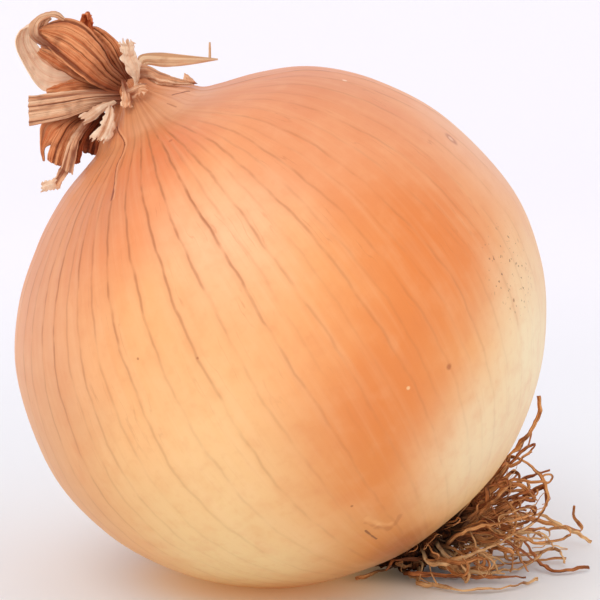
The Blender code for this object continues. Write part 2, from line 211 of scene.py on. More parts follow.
mat, shader, maker = new_material("pale_paper", roughness=0.8, specular=0.2)
spot = place_of(maker)
spot_x, spot_y, _ = spot.parts()
from_bulb = spot.vector("LENGTH", out=1)
from_roots = spot.distance(ROOT_SHADE_AT)
in_front = spot.distance(FRONT_GLOW_AT)
# Painted shade: the paper is darker towards the front and paler up the sweep behind.
paper = spot_y.within(NEAR_ENDS, FAR_STARTS).mix(PAPER_NEAR, PAPER_FAR)
# Painted light: the paper is lighter to the right of the onion, to lift the shade that the onion casts there.
paper = (spot_x.within(0.03, 0.09) * (1 - spot_y.within(0.0, 0.2))).mix(paper, rgb(250, 252, 252))
# Painted light: the onion's warm light thrown on the paper round it.
paper = ((1 - from_bulb.within(0.007, 0.027)) * 0.75).mix(paper, rgb(255, 222, 166))
# Painted shade: the dark contact shadow close round where the bulb rests.
paper = ((1 - from_bulb.within(0.004, 0.0085)) * 0.75).mix(paper, rgb(136, 56, 6))
# Painted shade: the shadow of the roots on the paper.
paper = ((1 - from_roots.within(0.003, 0.014)) * 0.40).mix(paper, rgb(104, 50, 20))
feed(shader, "Base Color", paper)
# Painted glow: the paper gives off a faint warm light round the bulb and in front of the roots, though it is
# no lamp.
glow = (1 - from_bulb.within(0.010, 0.027)) * from_bulb.within(0.004, 0.009)
glow = glow * 0.125 + (1 - in_front.within(0.003, 0.014)) * 0.10
feed(shader, "Emission Color", glow.mix(rgb(0, 0, 0), GLOW_COLOUR))
shader.inputs["Emission Strength"].default_value = 1.0
floor.data.materials.append(mat)

world = bpy.data.worlds.new("room")
bpy.context.scene.world = world
world.use_nodes = True
world.node_tree.nodes["Background"].inputs["Color"].default_value = ROOM_COLOUR
world.node_tree.nodes["Background"].inputs["Strength"].default_value = ROOM_LIGHT


def soft_lamp(place, aim_height, size, energy, colour, shape):
    """A lamp that faces a point above the middle of the floor."""
    bpy.ops.object.light_add(type="AREA", location=place)
    lamp = bpy.context.object
    lamp.data.shape = shape
    lamp.data.size = size
    lamp.data.energy = energy
    lamp.data.color = colour
    aim = Vector((0, 0, aim_height)) - lamp.location
    lamp.rotation_euler = aim.to_track_quat("-Z", "Y").to_euler()


soft_lamp(place=(-0.35, -0.55, 0.75), aim_height=0.04, size=0.6, energy=1.9, colour=(1.0, 0.985, 0.97),
          shape="DISK")
soft_lamp(place=(-0.1, -0.9, 0.16), aim_height=0.02, size=0.5, energy=1.1, colour=(1.0, 0.97, 0.93),
          shape="SQUARE")
bpy.context.scene.view_settings.view_transform = "Standard"


# ---- Bulb ----
# The swollen leaf bases in their dry papery skin, one body from the root end to the gathered neck.
# It is a ball drawn out to the onion's outline, pleated towards the neck and ribbed by its veins.

NECK_AXIS = Vector((-0.522, -0.026, 0.853)).normalized()
BULB_TURN = Vector((0, 0, 1)).rotation_difference(NECK_AXIS).to_matrix()
# The outline below the neck: degrees from the neck's axis, and mm from the centre.
BULB_PROFILE = [
    (8.5, 44.1), (11.4, 43.1), (14, 42.1), (18, 41.9), (27, 42.4), (38, 43.1), (52, 43.6),
    (68, 43.9), (88, 44.0), (104, 43.5), (118, 42.6), (132, 41.8), (148, 41.2), (164, 40.4), (174, 39.3),
]
# The rim of the neck: mm from its axis, and mm above the centre.
NECK_OUTLINE = [(0, 48.4), (1.6, 48.2), (2.7, 47.6), (3.2, 46.6), (4.3, 45.1)]
ROOT_END = 38.6
RING_COUNT = 176
BALL_RADIUS = 43.0
# Each vein: degrees round from the front, and its strength above and below the bulb's waist.
FRONT_VEINS = [
    (-70, 0.5, 0.4), (-64, 0.3, 0.3), (-57, 0.6, 0.4), (-50.7, 0.85, 0.5), (-44.6, 0.35, 0.3),
    (-40.2, 0.8, 0.35), (-34.3, 0.45, 0.25), (-27.8, 0.8, 0.4), (-19.3, 0.75, 0.35),
    (-11.2, 0.8, 0.55), (-3.7, 0.75, 0.3),
    (4.4, 1.0, 0.45), (8.9, 0.25, 0.12), (13.3, 0.7, 0.3), (18.5, 0.22, 0.15), (22.9, 0.55, 0.38),
    (27.0, 0.2, 0.22), (31.8, 0.42, 0.30), (36.9, 0.12, 0.2), (41.8, 0.34, 0.35), (48.5, 0.12, 0.2),
    (55.6, 0.24, 0.34), (62, 0.12, 0.25), (70, 0.22, 0.25), (80, 0.3, 0.3),
]
BACK_VEIN_GAP = 8.5
VEIN_POLE_SHIFT = 6.0
VEIN_POLE_SIDE = 8.0
STEPS_PER_VEIN = 6
# How the veins wander: the size of each swing in degrees, and its pace.
VEIN_SWINGS = [(0.22, 0.17), (0.15, 0.47), (0.12, 1.05)]
# The split in the skin at the neck: degrees down from the neck, and degrees round.
SPLIT_ROUTE = [(8.6, -42.6), (12.9, -26), (17.5, -22.6), (21.9, -24), (28.8, -22.2), (34.7, -22.3)]


def smooth_through(points, count):
    """count places along a Catmull-Rom curve through the points."""
    pts = np.asarray(points, dtype=float)
    padded = np.vstack([2 * pts[0] - pts[1], pts, 2 * pts[-1] - pts[-2]])
    t = np.linspace(0, len(pts) - 1, count)
    i = np.minimum(t.astype(int), len(pts) - 2)
    u = (t - i)[:, None]
    a, b, c, d = (padded[i + k] for k in range(4))
    return 0.5 * (2 * b + (c - a) * u + (2 * a - 5 * b + 4 * c - d) * u**2 + (3 * b - a - 3 * c + d) * u**3)


def ramp(values, start, width):
    """0 up to start, rising evenly to 1 at width past it."""
    return np.clip((values - start) / width, 0, 1)


def on_ball(down, round_):
    """The place in mm, on a plain ball about the bulb's centre, that stands for a place on the skin.

    down is the angle from the neck in degrees, and round_ the angle round the neck from the front.
    """
    a, b = math.radians(down), math.radians(round_)
    toward = Vector((math.sin(a) * math.sin(b), -math.sin(a) * math.cos(b), math.cos(a)))
    return BULB_TURN @ toward * BALL_RADIUS


veins = list(FRONT_VEINS)
loose = np.random.default_rng(5)
open_angle = 360 - (FRONT_VEINS[-1][0] - FRONT_VEINS[0][0])
unseen = round(open_angle / BACK_VEIN_GAP)
for k in range(1, unseen):
    angle = FRONT_VEINS[-1][0] + k * open_angle / unseen + float(loose.uniform(-1.6, 1.6))
    veins.append((angle, float(loose.uniform(0.25, 0.9)), float(loose.uniform(0.15, 0.5))))
VEIN_COUNT = len(veins)
vein_stops = np.array([*(v[0] for v in veins), veins[0][0] + 360])
vein_force = np.array([*(v[1:] for v in veins), veins[0][1:]])

segments = VEIN_COUNT * STEPS_PER_VEIN
bpy.ops.object.select_all(action="DESELECT")
bpy.ops.mesh.primitive_uv_sphere_add(segments=segments, ring_count=RING_COUNT, radius=1)
bulb = bpy.context.object
bulb.name = "bulb_skin"
count = len(bulb.data.vertices)
ball = np.empty(count * 3, np.float32)
bulb.data.vertices.foreach_get("co", ball)
ball = ball.reshape(-1, 3).astype(float)

outline = list(NECK_OUTLINE)
for degrees, reach in BULB_PROFILE:
    outline.append((reach * math.sin(math.radians(degrees)), reach * math.cos(math.radians(degrees))))
outline.append((0, -ROOT_END))
outline = smooth_through(outline, RING_COUNT + 1)
outline[-1, 0] = outline[0, 0] = 0
ring = np.round(np.degrees(np.arccos(np.clip(ball[:, 2], -1, 1))) / 180 * RING_COUNT).astype(int)
radius, height = outline[ring, 0], outline[ring, 1]
turn_step = (np.degrees(np.arctan2(ball[:, 0], -ball[:, 1])) % 360) / 360 * segments
turn_step = np.round(turn_step).astype(int) % segments
phase = turn_step / STEPS_PER_VEIN
down = np.degrees(np.arctan2(radius, height))
wander_phase = loose.uniform(0, 2 * np.pi, (3, VEIN_COUNT))
wander_phase = np.hstack([wander_phase, wander_phase[:, :1]])
straight = np.interp(phase, np.arange(VEIN_COUNT + 1), vein_stops)
around = straight + VEIN_POLE_SHIFT * np.sin(np.radians(VEIN_POLE_SIDE - straight)) / np.tan(
    np.radians(np.clip(down, 24, 90)))
for (size, pace), shift in zip(VEIN_SWINGS, wander_phase):
    before, after = shift[phase.astype(int)], shift[phase.astype(int) + 1]
    part = phase % 1
    swing = (1 - part) * np.sin(pace * down + before) + part * np.sin(pace * down + after)
    around += size * swing * ramp(down, 6, 20)
turn = np.radians(around)

off_vein = np.abs((phase + 0.5) % 1 - 0.5)
nearest = np.round(phase).astype(int)
gap = np.interp(phase, np.arange(VEIN_COUNT) + 0.5, np.diff(vein_stops))
vein_mm = off_vein * np.radians(gap) * radius
lower = ramp(down, 52, 42)
force = vein_force[nearest, 0] * (1 - lower) + vein_force[nearest, 1] * lower
force *= 1 - 0.35 * ramp(down, 58, 20) - 0.35 * ramp(down, 92, 25)
force *= np.where(force < 0.5, np.clip((down - 14) / 22, 0.05, 1), np.clip((down - 6) / 14, 0.2, 1))
ridge = np.exp(-((vein_mm / 0.9) ** 2)) * force
near_neck = np.exp(-np.clip(down - 6, 0, None) / 7.0)
pleats = (0.5 * np.sin(11 * turn + 0.7) + 0.32 * np.sin(17 * turn + 2.1) + 0.25 * np.sin(29 * turn)
          + 0.5 * np.cos(5 * turn + 1.0))
lumps = (0.12 * np.sin(2 * turn + 0.6) * np.sin(np.radians(down))
         + 0.10 * np.sin(5 * turn + np.radians(down) * 3)
         + 0.62 * np.sin(turn) * np.exp(-(((down - 36) / 20) ** 2)))
lift = (0.06 * ridge * ramp(-down, -150, 40) * ramp(down, 5, 10)
        + 0.55 * near_neck * pleats + lumps * ramp(down, 10, 30))

# At the split, the skin on the left is sunk and the lip on its right stands up a little.
split = smooth_through(SPLIT_ROUTE, 60)
beside = (((around - np.interp(down, split[:, 0], split[:, 1])) + 180) % 360 - 180)
beside_mm = np.radians(beside) * radius
along_split = ramp(down, 9, 4) * ramp(-down, -35, 7)
lift -= 0.34 * along_split * np.where(beside_mm < 0, np.exp(beside_mm / 2.2), 0)
lift += 0.12 * along_split * np.where(beside_mm >= 0, np.exp(-beside_mm / 1.2), 0)

leave = (radius + lift * np.clip(radius / 3, 0, 1)) * np.clip(radius * 10, 0, 1)
local = np.stack([leave * np.sin(turn), -leave * np.cos(turn), height], axis=1)
local[:, 2] += lift * np.cos(np.radians(down)) * ramp(down, 15, 20)
places = local @ np.array(BULB_TURN).T * MM + np.array(BULB_CENTRE)
places[:, 2] = np.where(places[:, 2] < 0.0, 0.0, places[:, 2])
bulb.data.vertices.foreach_set("co", places.astype(np.float32).ravel())

# The skin's map counts veins across and runs from the root end at 0 to the neck at 1.
uv = bulb.data.uv_layers[0]
uv.name = "veins"
loop_vertex = np.empty(len(bulb.data.loops), np.int32)
bulb.data.loops.foreach_get("vertex_index", loop_vertex)
u = phase[loop_vertex]
face_first = np.empty(len(bulb.data.polygons), np.int32)
face_size = np.empty(len(bulb.data.polygons), np.int32)
bulb.data.polygons.foreach_get("loop_start", face_first)
bulb.data.polygons.foreach_get("loop_total", face_size)
for first, size in zip(face_first, face_size):
    run = slice(first, first + size)
    if u[run].max() - u[run].min() > VEIN_COUNT / 2:
        u[run] = np.where(u[run] < VEIN_COUNT / 2, u[run] + VEIN_COUNT, u[run])
pairs = np.stack([u, 1 - down[loop_vertex] / 180], axis=1)
uv.data.foreach_set("uv", pairs.astype(np.float32).ravel())


def store(mesh, name, values):
    """Keeps one number for each point of a mesh, for its material."""
    mesh.attributes.new(name, "FLOAT", "POINT").data.foreach_set("value", np.array(values, np.float32))


def stored(maker, name):
    """The number that store kept, in the material."""
    return maker.node("Attribute", {"attribute_name": name}, out=2)


def emboss(shader, relief, strength, depth):
    """Gives the finish a relief by its Normal, depth being in metres."""
    feed(shader, "Normal", relief.node("Bump", Strength=strength, Distance=depth, Height=relief))


store(bulb.data, "split_mm", np.where(along_split > 0, beside_mm, 50))
store(bulb.data, "vein_mm", vein_mm)
store(bulb.data, "vein_force", force)
bpy.ops.object.shade_smooth()

mat, shader, maker = new_material("onion_skin", roughness=0.42, specular=0.36)
place = place_of(maker)
uv_place = maker.node("UVMap", {"uv_map": "veins"})
vein_u, vein_v, _ = uv_place.parts()
turned = place.node("Mapping", {"vector_type": "TEXTURE"}, Vector=place, Location=BULB_CENTRE,
                    Rotation=BULB_TURN.to_euler())
across_x, across_y, _ = turned.parts()
flat = maker.node("CombineXYZ", X=across_x, Y=across_y, Z=0.0)
spoke_x, spoke_y, _ = flat.vector("NORMALIZE").parts()


def streaks(fineness, length, detail=2.0):
    """Noise drawn out along the meridians, fineness lumps round and length lumps from end to end."""
    grain = maker.node("CombineXYZ", X=spoke_x * fineness, Y=spoke_y * fineness, Z=vein_v * length)
    return grain.noise(1.0, detail)


on_skin = place.vector("SUBTRACT", BULB_CENTRE).vector("NORMALIZE").vector("SCALE", Scale=BALL_RADIUS)
wander = place.noise(70.0, 3.0)
thick_thin = place.noise(420.0, 2.0)


def patch(down_deg, round_deg, size, soft=0.55):
    """1 in a round patch of skin, size in mm, fading to 0 at its edge."""
    away = on_skin.distance(on_ball(down_deg, round_deg))
    return 1 - (away + (wander - 0.5) * (0.5 * size)).within(size * (1 - soft), size)


def crease(start, end, width):
    """1 along a short line over the skin between two places, fading to 0 at width in mm beside it."""
    start, end = on_ball(*start), on_ball(*end)
    line = end - start
    share = on_skin.vector("SUBTRACT", start).vector("DOT_PRODUCT", line / line.length_squared, out=1)
    nearest = share.math("ADD", 0.0, clamp=True).vector("MULTIPLY_ADD", line, start)
    return 1 - (on_skin.distance(nearest) + (thick_thin - 0.5) * (2 * width)).within(width * 0.2, width)


blotches = place.noise(38.0, 2.0)
fibres = streaks(26.0, 5.0, 3.0)
fine_fibres = streaks(90.0, 9.0, 2.0)

colour = vein_v.node("ValToRGB", {"stops": [
    (0.0, rgb(222, 172, 102)), (0.14, rgb(234, 192, 124)), (0.34, rgb(243, 185, 119)),
    (0.60, rgb(247, 180, 117)), (0.80, rgb(242, 162, 101)), (0.90, rgb(218, 134, 80)),
    (1.0, rgb(200, 120, 70))]}, Fac=vein_v)
colour = (blotches.within(0.40, 0.72) * 0.30).mix(colour, rgb(238, 152, 92))

# Each patch: degrees down from the neck, degrees round from the front, size in mm, strength and colour.
SKIN_PATCHES = [
    (12, 10, 15, 0.60, rgb(206, 146, 104)),
    (36, -16, 19, 0.85, rgb(226, 124, 70)),
    (46, -30, 15, 0.70, rgb(228, 138, 84)),
    (44, -8, 13, 0.55, rgb(240, 152, 96)),
    # Painted highlight: a soft pale sheen on the shoulder beside the neck.
    (14, 66, 9, 0.55, rgb(232, 186, 158)),
    (38, -62, 20, 0.70, rgb(208, 132, 86)),
    (33, -28, 12, 0.50, rgb(204, 126, 80)),
    (60, 60, 34, 0.66, rgb(226, 138, 94)),
    (36, 70, 24, 0.65, rgb(210, 130, 92)),
    (84, 41, 23, 0.90, rgb(226, 122, 50)),
    (88, 26, 26, 0.60, rgb(232, 134, 62)),
    (104, 16, 22, 0.80, rgb(227, 126, 54)),
    (103, 4, 14, 0.55, rgb(226, 130, 64)),
    (118, 0, 20, 0.80, rgb(224, 128, 50)),
    (48, 34, 20, 0.50, rgb(230, 146, 98)),
    # Painted highlight: the broad bright sheen on the upper left of the bulb.
    (57, 6, 17, 0.60, rgb(254, 192, 146)),
    (26, 6, 12, 0.70, rgb(226, 124, 72)),
    (60, -56, 26, 0.62, rgb(221, 153, 112)),
    (88, -62, 26, 0.6, rgb(218, 156, 102)),
    (104, -42, 20, 0.45, rgb(238, 206, 142)),
    (100, -22, 26, 0.60, rgb(248, 206, 146)),
    (126, -34, 26, 0.75, rgb(246, 216, 156)),
    (116, 64, 24, 0.95, rgb(248, 228, 184)),
    (128, 36, 20, 0.75, rgb(244, 222, 178)),
    (76, 84, 20, 0.60, rgb(243, 190, 152)),
    (64, 150, 30, 0.5, rgb(236, 150, 92)),
    (96, -150, 30, 0.5, rgb(248, 202, 140)),
    (52, -120, 24, 0.5, rgb(234, 148, 96)),
    (112, 130, 26, 0.6, rgb(246, 216, 166)),
    (80, -105, 22, 0.4, rgb(232, 146, 88)),
    (128, -120, 22, 0.5, rgb(228, 150, 84)),
    (142, -4, 18, 0.80, rgb(208, 118, 2)),
    (146, 2, 9, 0.80, rgb(178, 92, 0)),
    # Painted shade: the skin darkened next to the root end, where the bulb's underside and the roots shade
    # it.
    (160, -6, 17, 0.85, rgb(118, 58, 16)),
    (150, -60, 22, 0.60, rgb(214, 136, 66)),
]
for down_deg, round_deg, size, strength, tint in SKIN_PATCHES:
    colour = (patch(down_deg, round_deg, size, 0.95) * strength).mix(colour, tint)

mottle = place.noise(240.0, 3.0)
colour = (mottle.within(0.46, 0.74) * 0.17).mix(colour, rgb(222, 126, 66))
colour = ((1 - mottle.within(0.26, 0.50)) * 0.08).mix(colour, rgb(255, 206, 156))
colour = (place.noise(700.0, 2.0).within(0.50, 0.72) * 0.09).mix(colour, rgb(218, 128, 72))
colour = (fibres.within(0.40, 0.80) * 0.14).mix(colour, rgb(252, 206, 156))
colour = (fine_fibres.within(0.50, 0.85) * 0.08).mix(colour, rgb(206, 120, 66))

from_vein, vein_strength = stored(maker, "vein_mm"), stored(maker, "vein_force")
vein_line = (1 - (from_vein - (thick_thin - 0.5) * 0.2).within(0.02, 0.40)) * vein_strength
vein_glow = (1 - from_vein.within(0.1, 1.3)) * vein_strength
patchy = streaks(14.0, 26.0).within(0.36, 0.58) * 0.75 + 0.25
colour = (vein_line * patchy * 0.76).mix(colour, rgb(150, 84, 44))
colour = (vein_glow * patchy * 0.26).mix(colour, rgb(204, 124, 72))

small_u = vein_u * 2.0 + (streaks(20.0, 11.0, 3.0) - 0.5) * 2.4
small_mm = abs(small_u.math("FRACT") - 0.5) * 3.0
small_line = (1 - small_mm.within(0.03, 0.17)) * place.noise(150.0, 2.0).within(0.52, 0.66)
colour = (small_line * vein_v.within(0.42, 0.62) * 0.26).mix(colour, rgb(186, 108, 60))

neck_creases = vein_v.within(0.86, 0.97) * streaks(22.0, 4.0, 2.0).within(0.44, 0.64)
colour = (neck_creases * 0.42).mix(colour, rgb(186, 108, 60))

beside_split = stored(maker, "split_mm")
stain = 1 - abs(beside_split).within(0.3, 2.2)
gash = 1 - (abs(beside_split + 0.14) - (thick_thin - 0.5) * 0.3).within(0.12, 0.34)
lip = 1 - abs(beside_split - 0.34).within(0.05, 0.30)
colour = (stain * 0.35).mix(colour, rgb(206, 118, 70))
colour = (gash * 0.88).mix(colour, rgb(142, 66, 30))
colour = (lip * 0.35).mix(colour, rgb(246, 184, 136))

flecks = place.noise(1500.0, 1.0).within(0.66, 0.72) * patch(98, 60, 9)
colour = (flecks * 0.75).mix(colour, rgb(128, 74, 40))
# Each speck: degrees down and round, radius in mm, and colour.  The first two are the ring-shaped scar.
SPECKS = [
    (70.1, 74.7, 1.5, rgb(186, 108, 76)),
    (70.1, 74.7, 0.7, rgb(246, 196, 158)),
    (104, 31.8, 0.7, rgb(170, 90, 44)),
    (102.3, 21.7, 0.36, rgb(250, 206, 150)),
    (119.9, -1.6, 0.34, rgb(160, 86, 44)),
    (70, -23, 0.3, rgb(176, 104, 62)),
    (75.3, -10.9, 0.32, rgb(172, 98, 56)),
    (45.2, 75.4, 0.5, rgb(252, 220, 190)),
    (25.8, 9.5, 0.6, rgb(190, 96, 50)),
    (102.9, 56.5, 0.5, rgb(150, 90, 50)),
]
for down_deg, round_deg, size, tint in SPECKS:
    away = on_skin.distance(on_ball(down_deg, round_deg)) + (thick_thin - 0.5) * size
    colour = ((1 - away.within(size * 0.4, size)) * 0.7).mix(colour, tint)

# Each crease: its two ends in degrees down and round, width in mm, strength and colour.
CREASES = [
    # Painted shade: dark lines in the slits in the skin beside the neck.
    ((9.8, 50), (12.2, 64), 0.24, 0.85, rgb(132, 66, 36)),
    ((11.0, 33), (13.0, 35), 0.15, 0.5, rgb(150, 84, 50)),
    # The dimpled scar near the root end: painted highlight on its edges (the light lines) and painted shade
    # in its creases (the dark lines).
    ((126.0, -1.0), (129.6, 0.8), 0.8, 0.25, rgb(250, 190, 124)),
    ((130.2, 0.9), (132.2, 3.0), 0.9, 0.30, rgb(250, 186, 118)),
    ((126.8, -2.0), (129.4, -0.7), 0.5, 0.28, rgb(178, 96, 44)),
    ((130.8, -0.2), (133.8, 2.4), 0.8, 0.35, rgb(168, 88, 38)),
    ((133.6, 4.4), (131.4, 6.6), 0.6, 0.30, rgb(170, 92, 40)),
    ((129.6, -3.3), (135.2, -2.9), 0.26, 0.75, rgb(120, 62, 30)),
]
for start, end, width, strength, tint in CREASES:
    colour = (crease(start, end, width) * strength).mix(colour, tint)

feed(shader, "Base Color", colour)
feed(shader, "Roughness", 0.36 + fibres * 0.12 + vein_line * 0.1)
relief = fine_fibres * 0.12 + fibres * 0.3 + vein_glow * 0.4 + place.noise(900.0, 2.0) * 0.12
emboss(shader, relief, 0.35, 0.22 * MM)
bulb.data.materials.clear()
bulb.data.materials.append(mat)
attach(bulb, "root")
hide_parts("bulb")


# ---- Folded leaf ----
# The broadest dried leaf, ribbed, bent up to the left and folded over at its tip, with a lower layer
# seen under the fold.  A narrow strand of it has curled back in a loop.  This leaf and all the others
# are thin stiff papery sheets, each given its thickness.

LEAF_THICKNESS = 0.16 * MM


def sheet_between(edge_a, edge_b, columns, rows, bow, ribs, rib_depth, crinkle, torn=0.05, seed=0):
    """A leaf's mesh between its two long edges, lists of places in mm from the neck outwards.

    It is bowed across, ribbed along its length, crinkled, and torn at its end and nicked at its edges.
    """
    a_edge, b_edge = smooth_through(edge_a, rows + 1), smooth_through(edge_b, rows + 1)
    places, uvs, folds = [], [], []
    for i in range(rows + 1):
        for j in range(columns + 1):
            s, t = j / columns, i / rows
            tear = torn * (0.5 + 0.5 * noise.noise(Vector((s * 7 + seed, 3.1, seed)))
                           + 0.35 * noise.noise(Vector((s * 23 + seed, 9.1, seed))))
            row = min(t * (1 - tear * t**3), 1.0) * rows
            k = min(int(row), rows - 1)
            a = Vector(a_edge[k]).lerp(Vector(a_edge[k + 1]), row - k)
            b = Vector(b_edge[k]).lerp(Vector(b_edge[k + 1]), row - k)
            onward = Vector(a_edge[k + 1] - a_edge[k]) + Vector(b_edge[k + 1] - b_edge[k])
            over = b - a
            face = onward.cross(over)
            face = face.normalized() if face.length > 1e-9 else Vector((0, -1, 0))
            if face.y > 0:
                face.negate()
            span = over.length
            nick = 0.10 * noise.noise(Vector((t * 9 + seed, 5.5 + (s > 0.5) * 4, seed))) * torn * 12
            at = a + over * (s + nick * (abs(s - 0.5) * 2) ** 6 * (1 if s > 0.5 else -1))
            gather = 1 + 1.2 * (1 - t) ** 3
            lift = bow * 4 * s * (1 - s) * min(1.0, t * 3)
            fold = 1.1 * noise.noise(Vector((s * ribs * 1.5 + seed, t * 0.9, seed)))
            fold += 0.6 * noise.noise(Vector((s * ribs * 3.4, t * 1.6 + seed, seed)))
            waver = 2 * noise.noise(Vector((s * 3, t * 2, seed)))
            fold += 0.25 * math.cos(2 * math.pi * ribs * s + seed + waver)
            lift += rib_depth * gather * 1.4 * fold * min(1.0, span / 2)
            lift += crinkle * noise.noise(Vector((at.x * 0.7, at.y * 0.7 + seed * 5, at.z * 0.7)))
            lift += crinkle * 0.5 * noise.noise(Vector((at.x * 2.1, seed * 5, at.z * 2.1)))
            folds.append(fold)
            places.append((at + face * lift) * MM)
            uvs.append((s * ribs, t))
    faces = []
    for i in range(rows):
        for j in range(columns):
            k = i * (columns + 1) + j
            faces.append((k, k + 1, k + columns + 2, k + columns + 1))
    return places, uvs, folds, faces


def leaf_object(name, sheets, mat, node=None):
    places, uvs, folds, faces = [], [], [], []
    for sheet_places, sheet_uvs, sheet_folds, sheet_faces in sheets:
        first = len(places)
        places += sheet_places
        uvs += sheet_uvs
        folds += sheet_folds
        faces += [tuple(first + k for k in face) for face in sheet_faces]
    data = bpy.data.meshes.new(name)
    data.from_pydata([tuple(p) for p in places], [], faces)
    layer = data.uv_layers.new(name="leaf")
    for loop in data.loops:
        layer.data[loop.index].uv = uvs[loop.vertex_index]
    store(data, "fold", folds)
    data.materials.append(mat)
    leaf = bpy.data.objects.new(name, data)
    bpy.context.scene.collection.objects.link(leaf)
    bpy.ops.object.select_all(action="DESELECT")
    bpy.context.view_layer.objects.active = leaf
    leaf.select_set(True)
    wall = leaf.modifiers.new("thickness", "SOLIDIFY")
    wall.thickness = LEAF_THICKNESS
    wall.offset = 0.0
    bpy.ops.object.modifier_apply(modifier=wall.name)
    bpy.ops.object.shade_smooth_by_angle(angle=math.radians(50))
    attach(leaf, "root")
    if node:
        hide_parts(node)


def papery(name, light, mid, dark, base_dark):
    """Dried leaf: fibres along it, painted shade in rib valleys and painted light on crests, darker at its
    foot, stained in places.
    """
    mat, shader, maker = new_material(name, roughness=0.62, specular=0.3)
    spot = place_of(maker)
    rib, along, _ = maker.node("UVMap", {"uv_map": "leaf"}).parts()
    grain = maker.node("CombineXYZ", X=rib * 7.0, Y=along * 1.6, Z=spot.noise(60.0) * 0.8).noise(1.0, 3.0)
    thread = maker.node("CombineXYZ", X=rib * 26.0, Y=along * 2.6, Z=0.0).noise(1.0, 2.0)
    stain = spot.noise(260.0, 3.0)
    fold = stored(maker, "fold")
    colour = grain.within(0.32, 0.70).mix(mid, light)
    # Painted shade in the valleys between the ribs, and painted highlight on their crests, both from the
    # stored fold height.
    colour = ((1 - fold.within(-0.55, 0.10)) * 0.75).mix(colour, dark)
    colour = (fold.within(0.15, 0.7) * 0.5).mix(colour, light)
    colour = (thread.within(0.55, 0.68) * 0.50).mix(colour, dark)
    colour = (stain.within(0.54, 0.70) * 0.45).mix(colour, dark)
    colour = ((1 - along.within(0.02, 0.5)) * base_dark).mix(colour, dark)
    feed(shader, "Base Color", colour)
    relief = grain * 0.6 + thread * 0.5 + stain * 0.3
    emboss(shader, relief, 0.75, 0.3 * MM)
    return mat


leaf_brown = papery("dried_leaf_brown", rgb(241, 166, 112), rgb(206, 108, 56), rgb(102, 34, 8),
                    base_dark=0.8)
leaf_tan = papery("dried_leaf_tan", rgb(248, 204, 164), rgb(224, 154, 108), rgb(128, 52, 20),
                  base_dark=0.88)

leaf_object("folded_leaf", [
    sheet_between(
        [(-22.4, -3.0, 79.6), (-26.6, -4.2, 81.0), (-29.4, -5.0, 82.8), (-32.4, -5.4, 85.4),
         (-34.9, -5.2, 87.7), (-36.5, -4.6, 89.6)],
        [(-22.2, -2.0, 81.6), (-24.7, -2.4, 84.8), (-26.5, -2.8, 88.0), (-28.8, -3.0, 90.7),
         (-31.6, -3.0, 92.0), (-34.4, -3.6, 91.5), (-36.4, -4.4, 90.2)],
        60, 64, bow=1.1, ribs=6, rib_depth=0.15, crinkle=0.35, torn=0.02, seed=1.3),
    sheet_between(
        [(-23.3, -2.2, 80.2), (-29.1, -2.2, 81.6), (-33.0, -2.0, 83.4), (-35.4, -2.0, 85.0),
         (-37.0, -2.0, 86.6)],
        [(-23.0, -2.4, 81.0), (-28.6, -2.8, 84.6), (-32.0, -2.8, 87.2), (-34.2, -2.8, 88.3),
         (-36.2, -2.4, 87.8)],
        24, 40, bow=0.3, ribs=3, rib_depth=0.12, crinkle=0.3, torn=0.05, seed=2.9)],
    leaf_brown, "leaf_fold_front")


def strip_between(midrib, widths, across, columns=8, rows=40, **looks):
    """A narrow strip's sheet: its edges lie half its width each way across its midrib."""
    rail = smooth_through(midrib, 12)
    spans = smooth_through([(w, 0, 0) for w in widths], 12)[:, 0]
    turns = smooth_through(across, 12)
    edge_a, edge_b = [], []
    for k in range(12):
        onward = Vector(rail[min(k + 1, 11)] - rail[max(k - 1, 0)]).normalized()
        side = Vector(turns[k])
        side = (side - onward * side.dot(onward)).normalized()
        edge_a.append(tuple(Vector(rail[k]) - side * spans[k] / 2))
        edge_b.append(tuple(Vector(rail[k]) + side * spans[k] / 2))
    return sheet_between(edge_a, edge_b, columns, rows, **looks)


leaf_object("curled_strand", [
    strip_between(
        [(-32.6, -5.2, 86.6), (-35.8, -5.4, 88.6), (-36.9, -5.8, 89.8), (-36.8, -6.0, 91.2),
         (-35.9, -5.8, 92.2), (-34.5, -5.4, 92.7), (-33.3, -5.0, 92.6), (-32.2, -4.6, 91.9)],
        [0.8, 1.5, 1.9, 1.7, 1.2, 0.9, 1.2, 0.5],
        [(0.4, -0.6, 0.6), (0.7, -0.5, 0.5), (0.9, -0.5, 0), (0.8, -0.6, -0.3), (0.4, -0.6, -0.7),
         (0, -0.6, -0.8), (-0.1, -0.7, -0.8), (-0.3, -0.6, -0.8)],
        bow=0.35, ribs=3, rib_depth=0.10, crinkle=0.25, torn=0.05, seed=2.2),
    strip_between(
        [(-35.2, -4.6, 88.8), (-35.8, -4.4, 90.3), (-35.4, -4.4, 91.6), (-34.4, -4.6, 92.3)],
        [1.3, 1.2, 1.0, 0.6], [(1, 0, 0), (1, -0.2, 0), (0.8, 0, -0.6), (0.4, 0, -0.9)],
        bow=-0.3, ribs=2, rib_depth=0.10, crinkle=0.2, torn=0.05, seed=2.6)],
    leaf_tan, "leaf_curl_strand")


# ---- Leaf behind the fold ----
# A red-brown leaf that shows above the fold.  Its small tip is rolled up and rust coloured, and is a
# strip of its own.

leaf_rust = papery("dried_leaf_rust", rgb(236, 142, 84), rgb(206, 98, 48), rgb(150, 60, 24), base_dark=0.3)

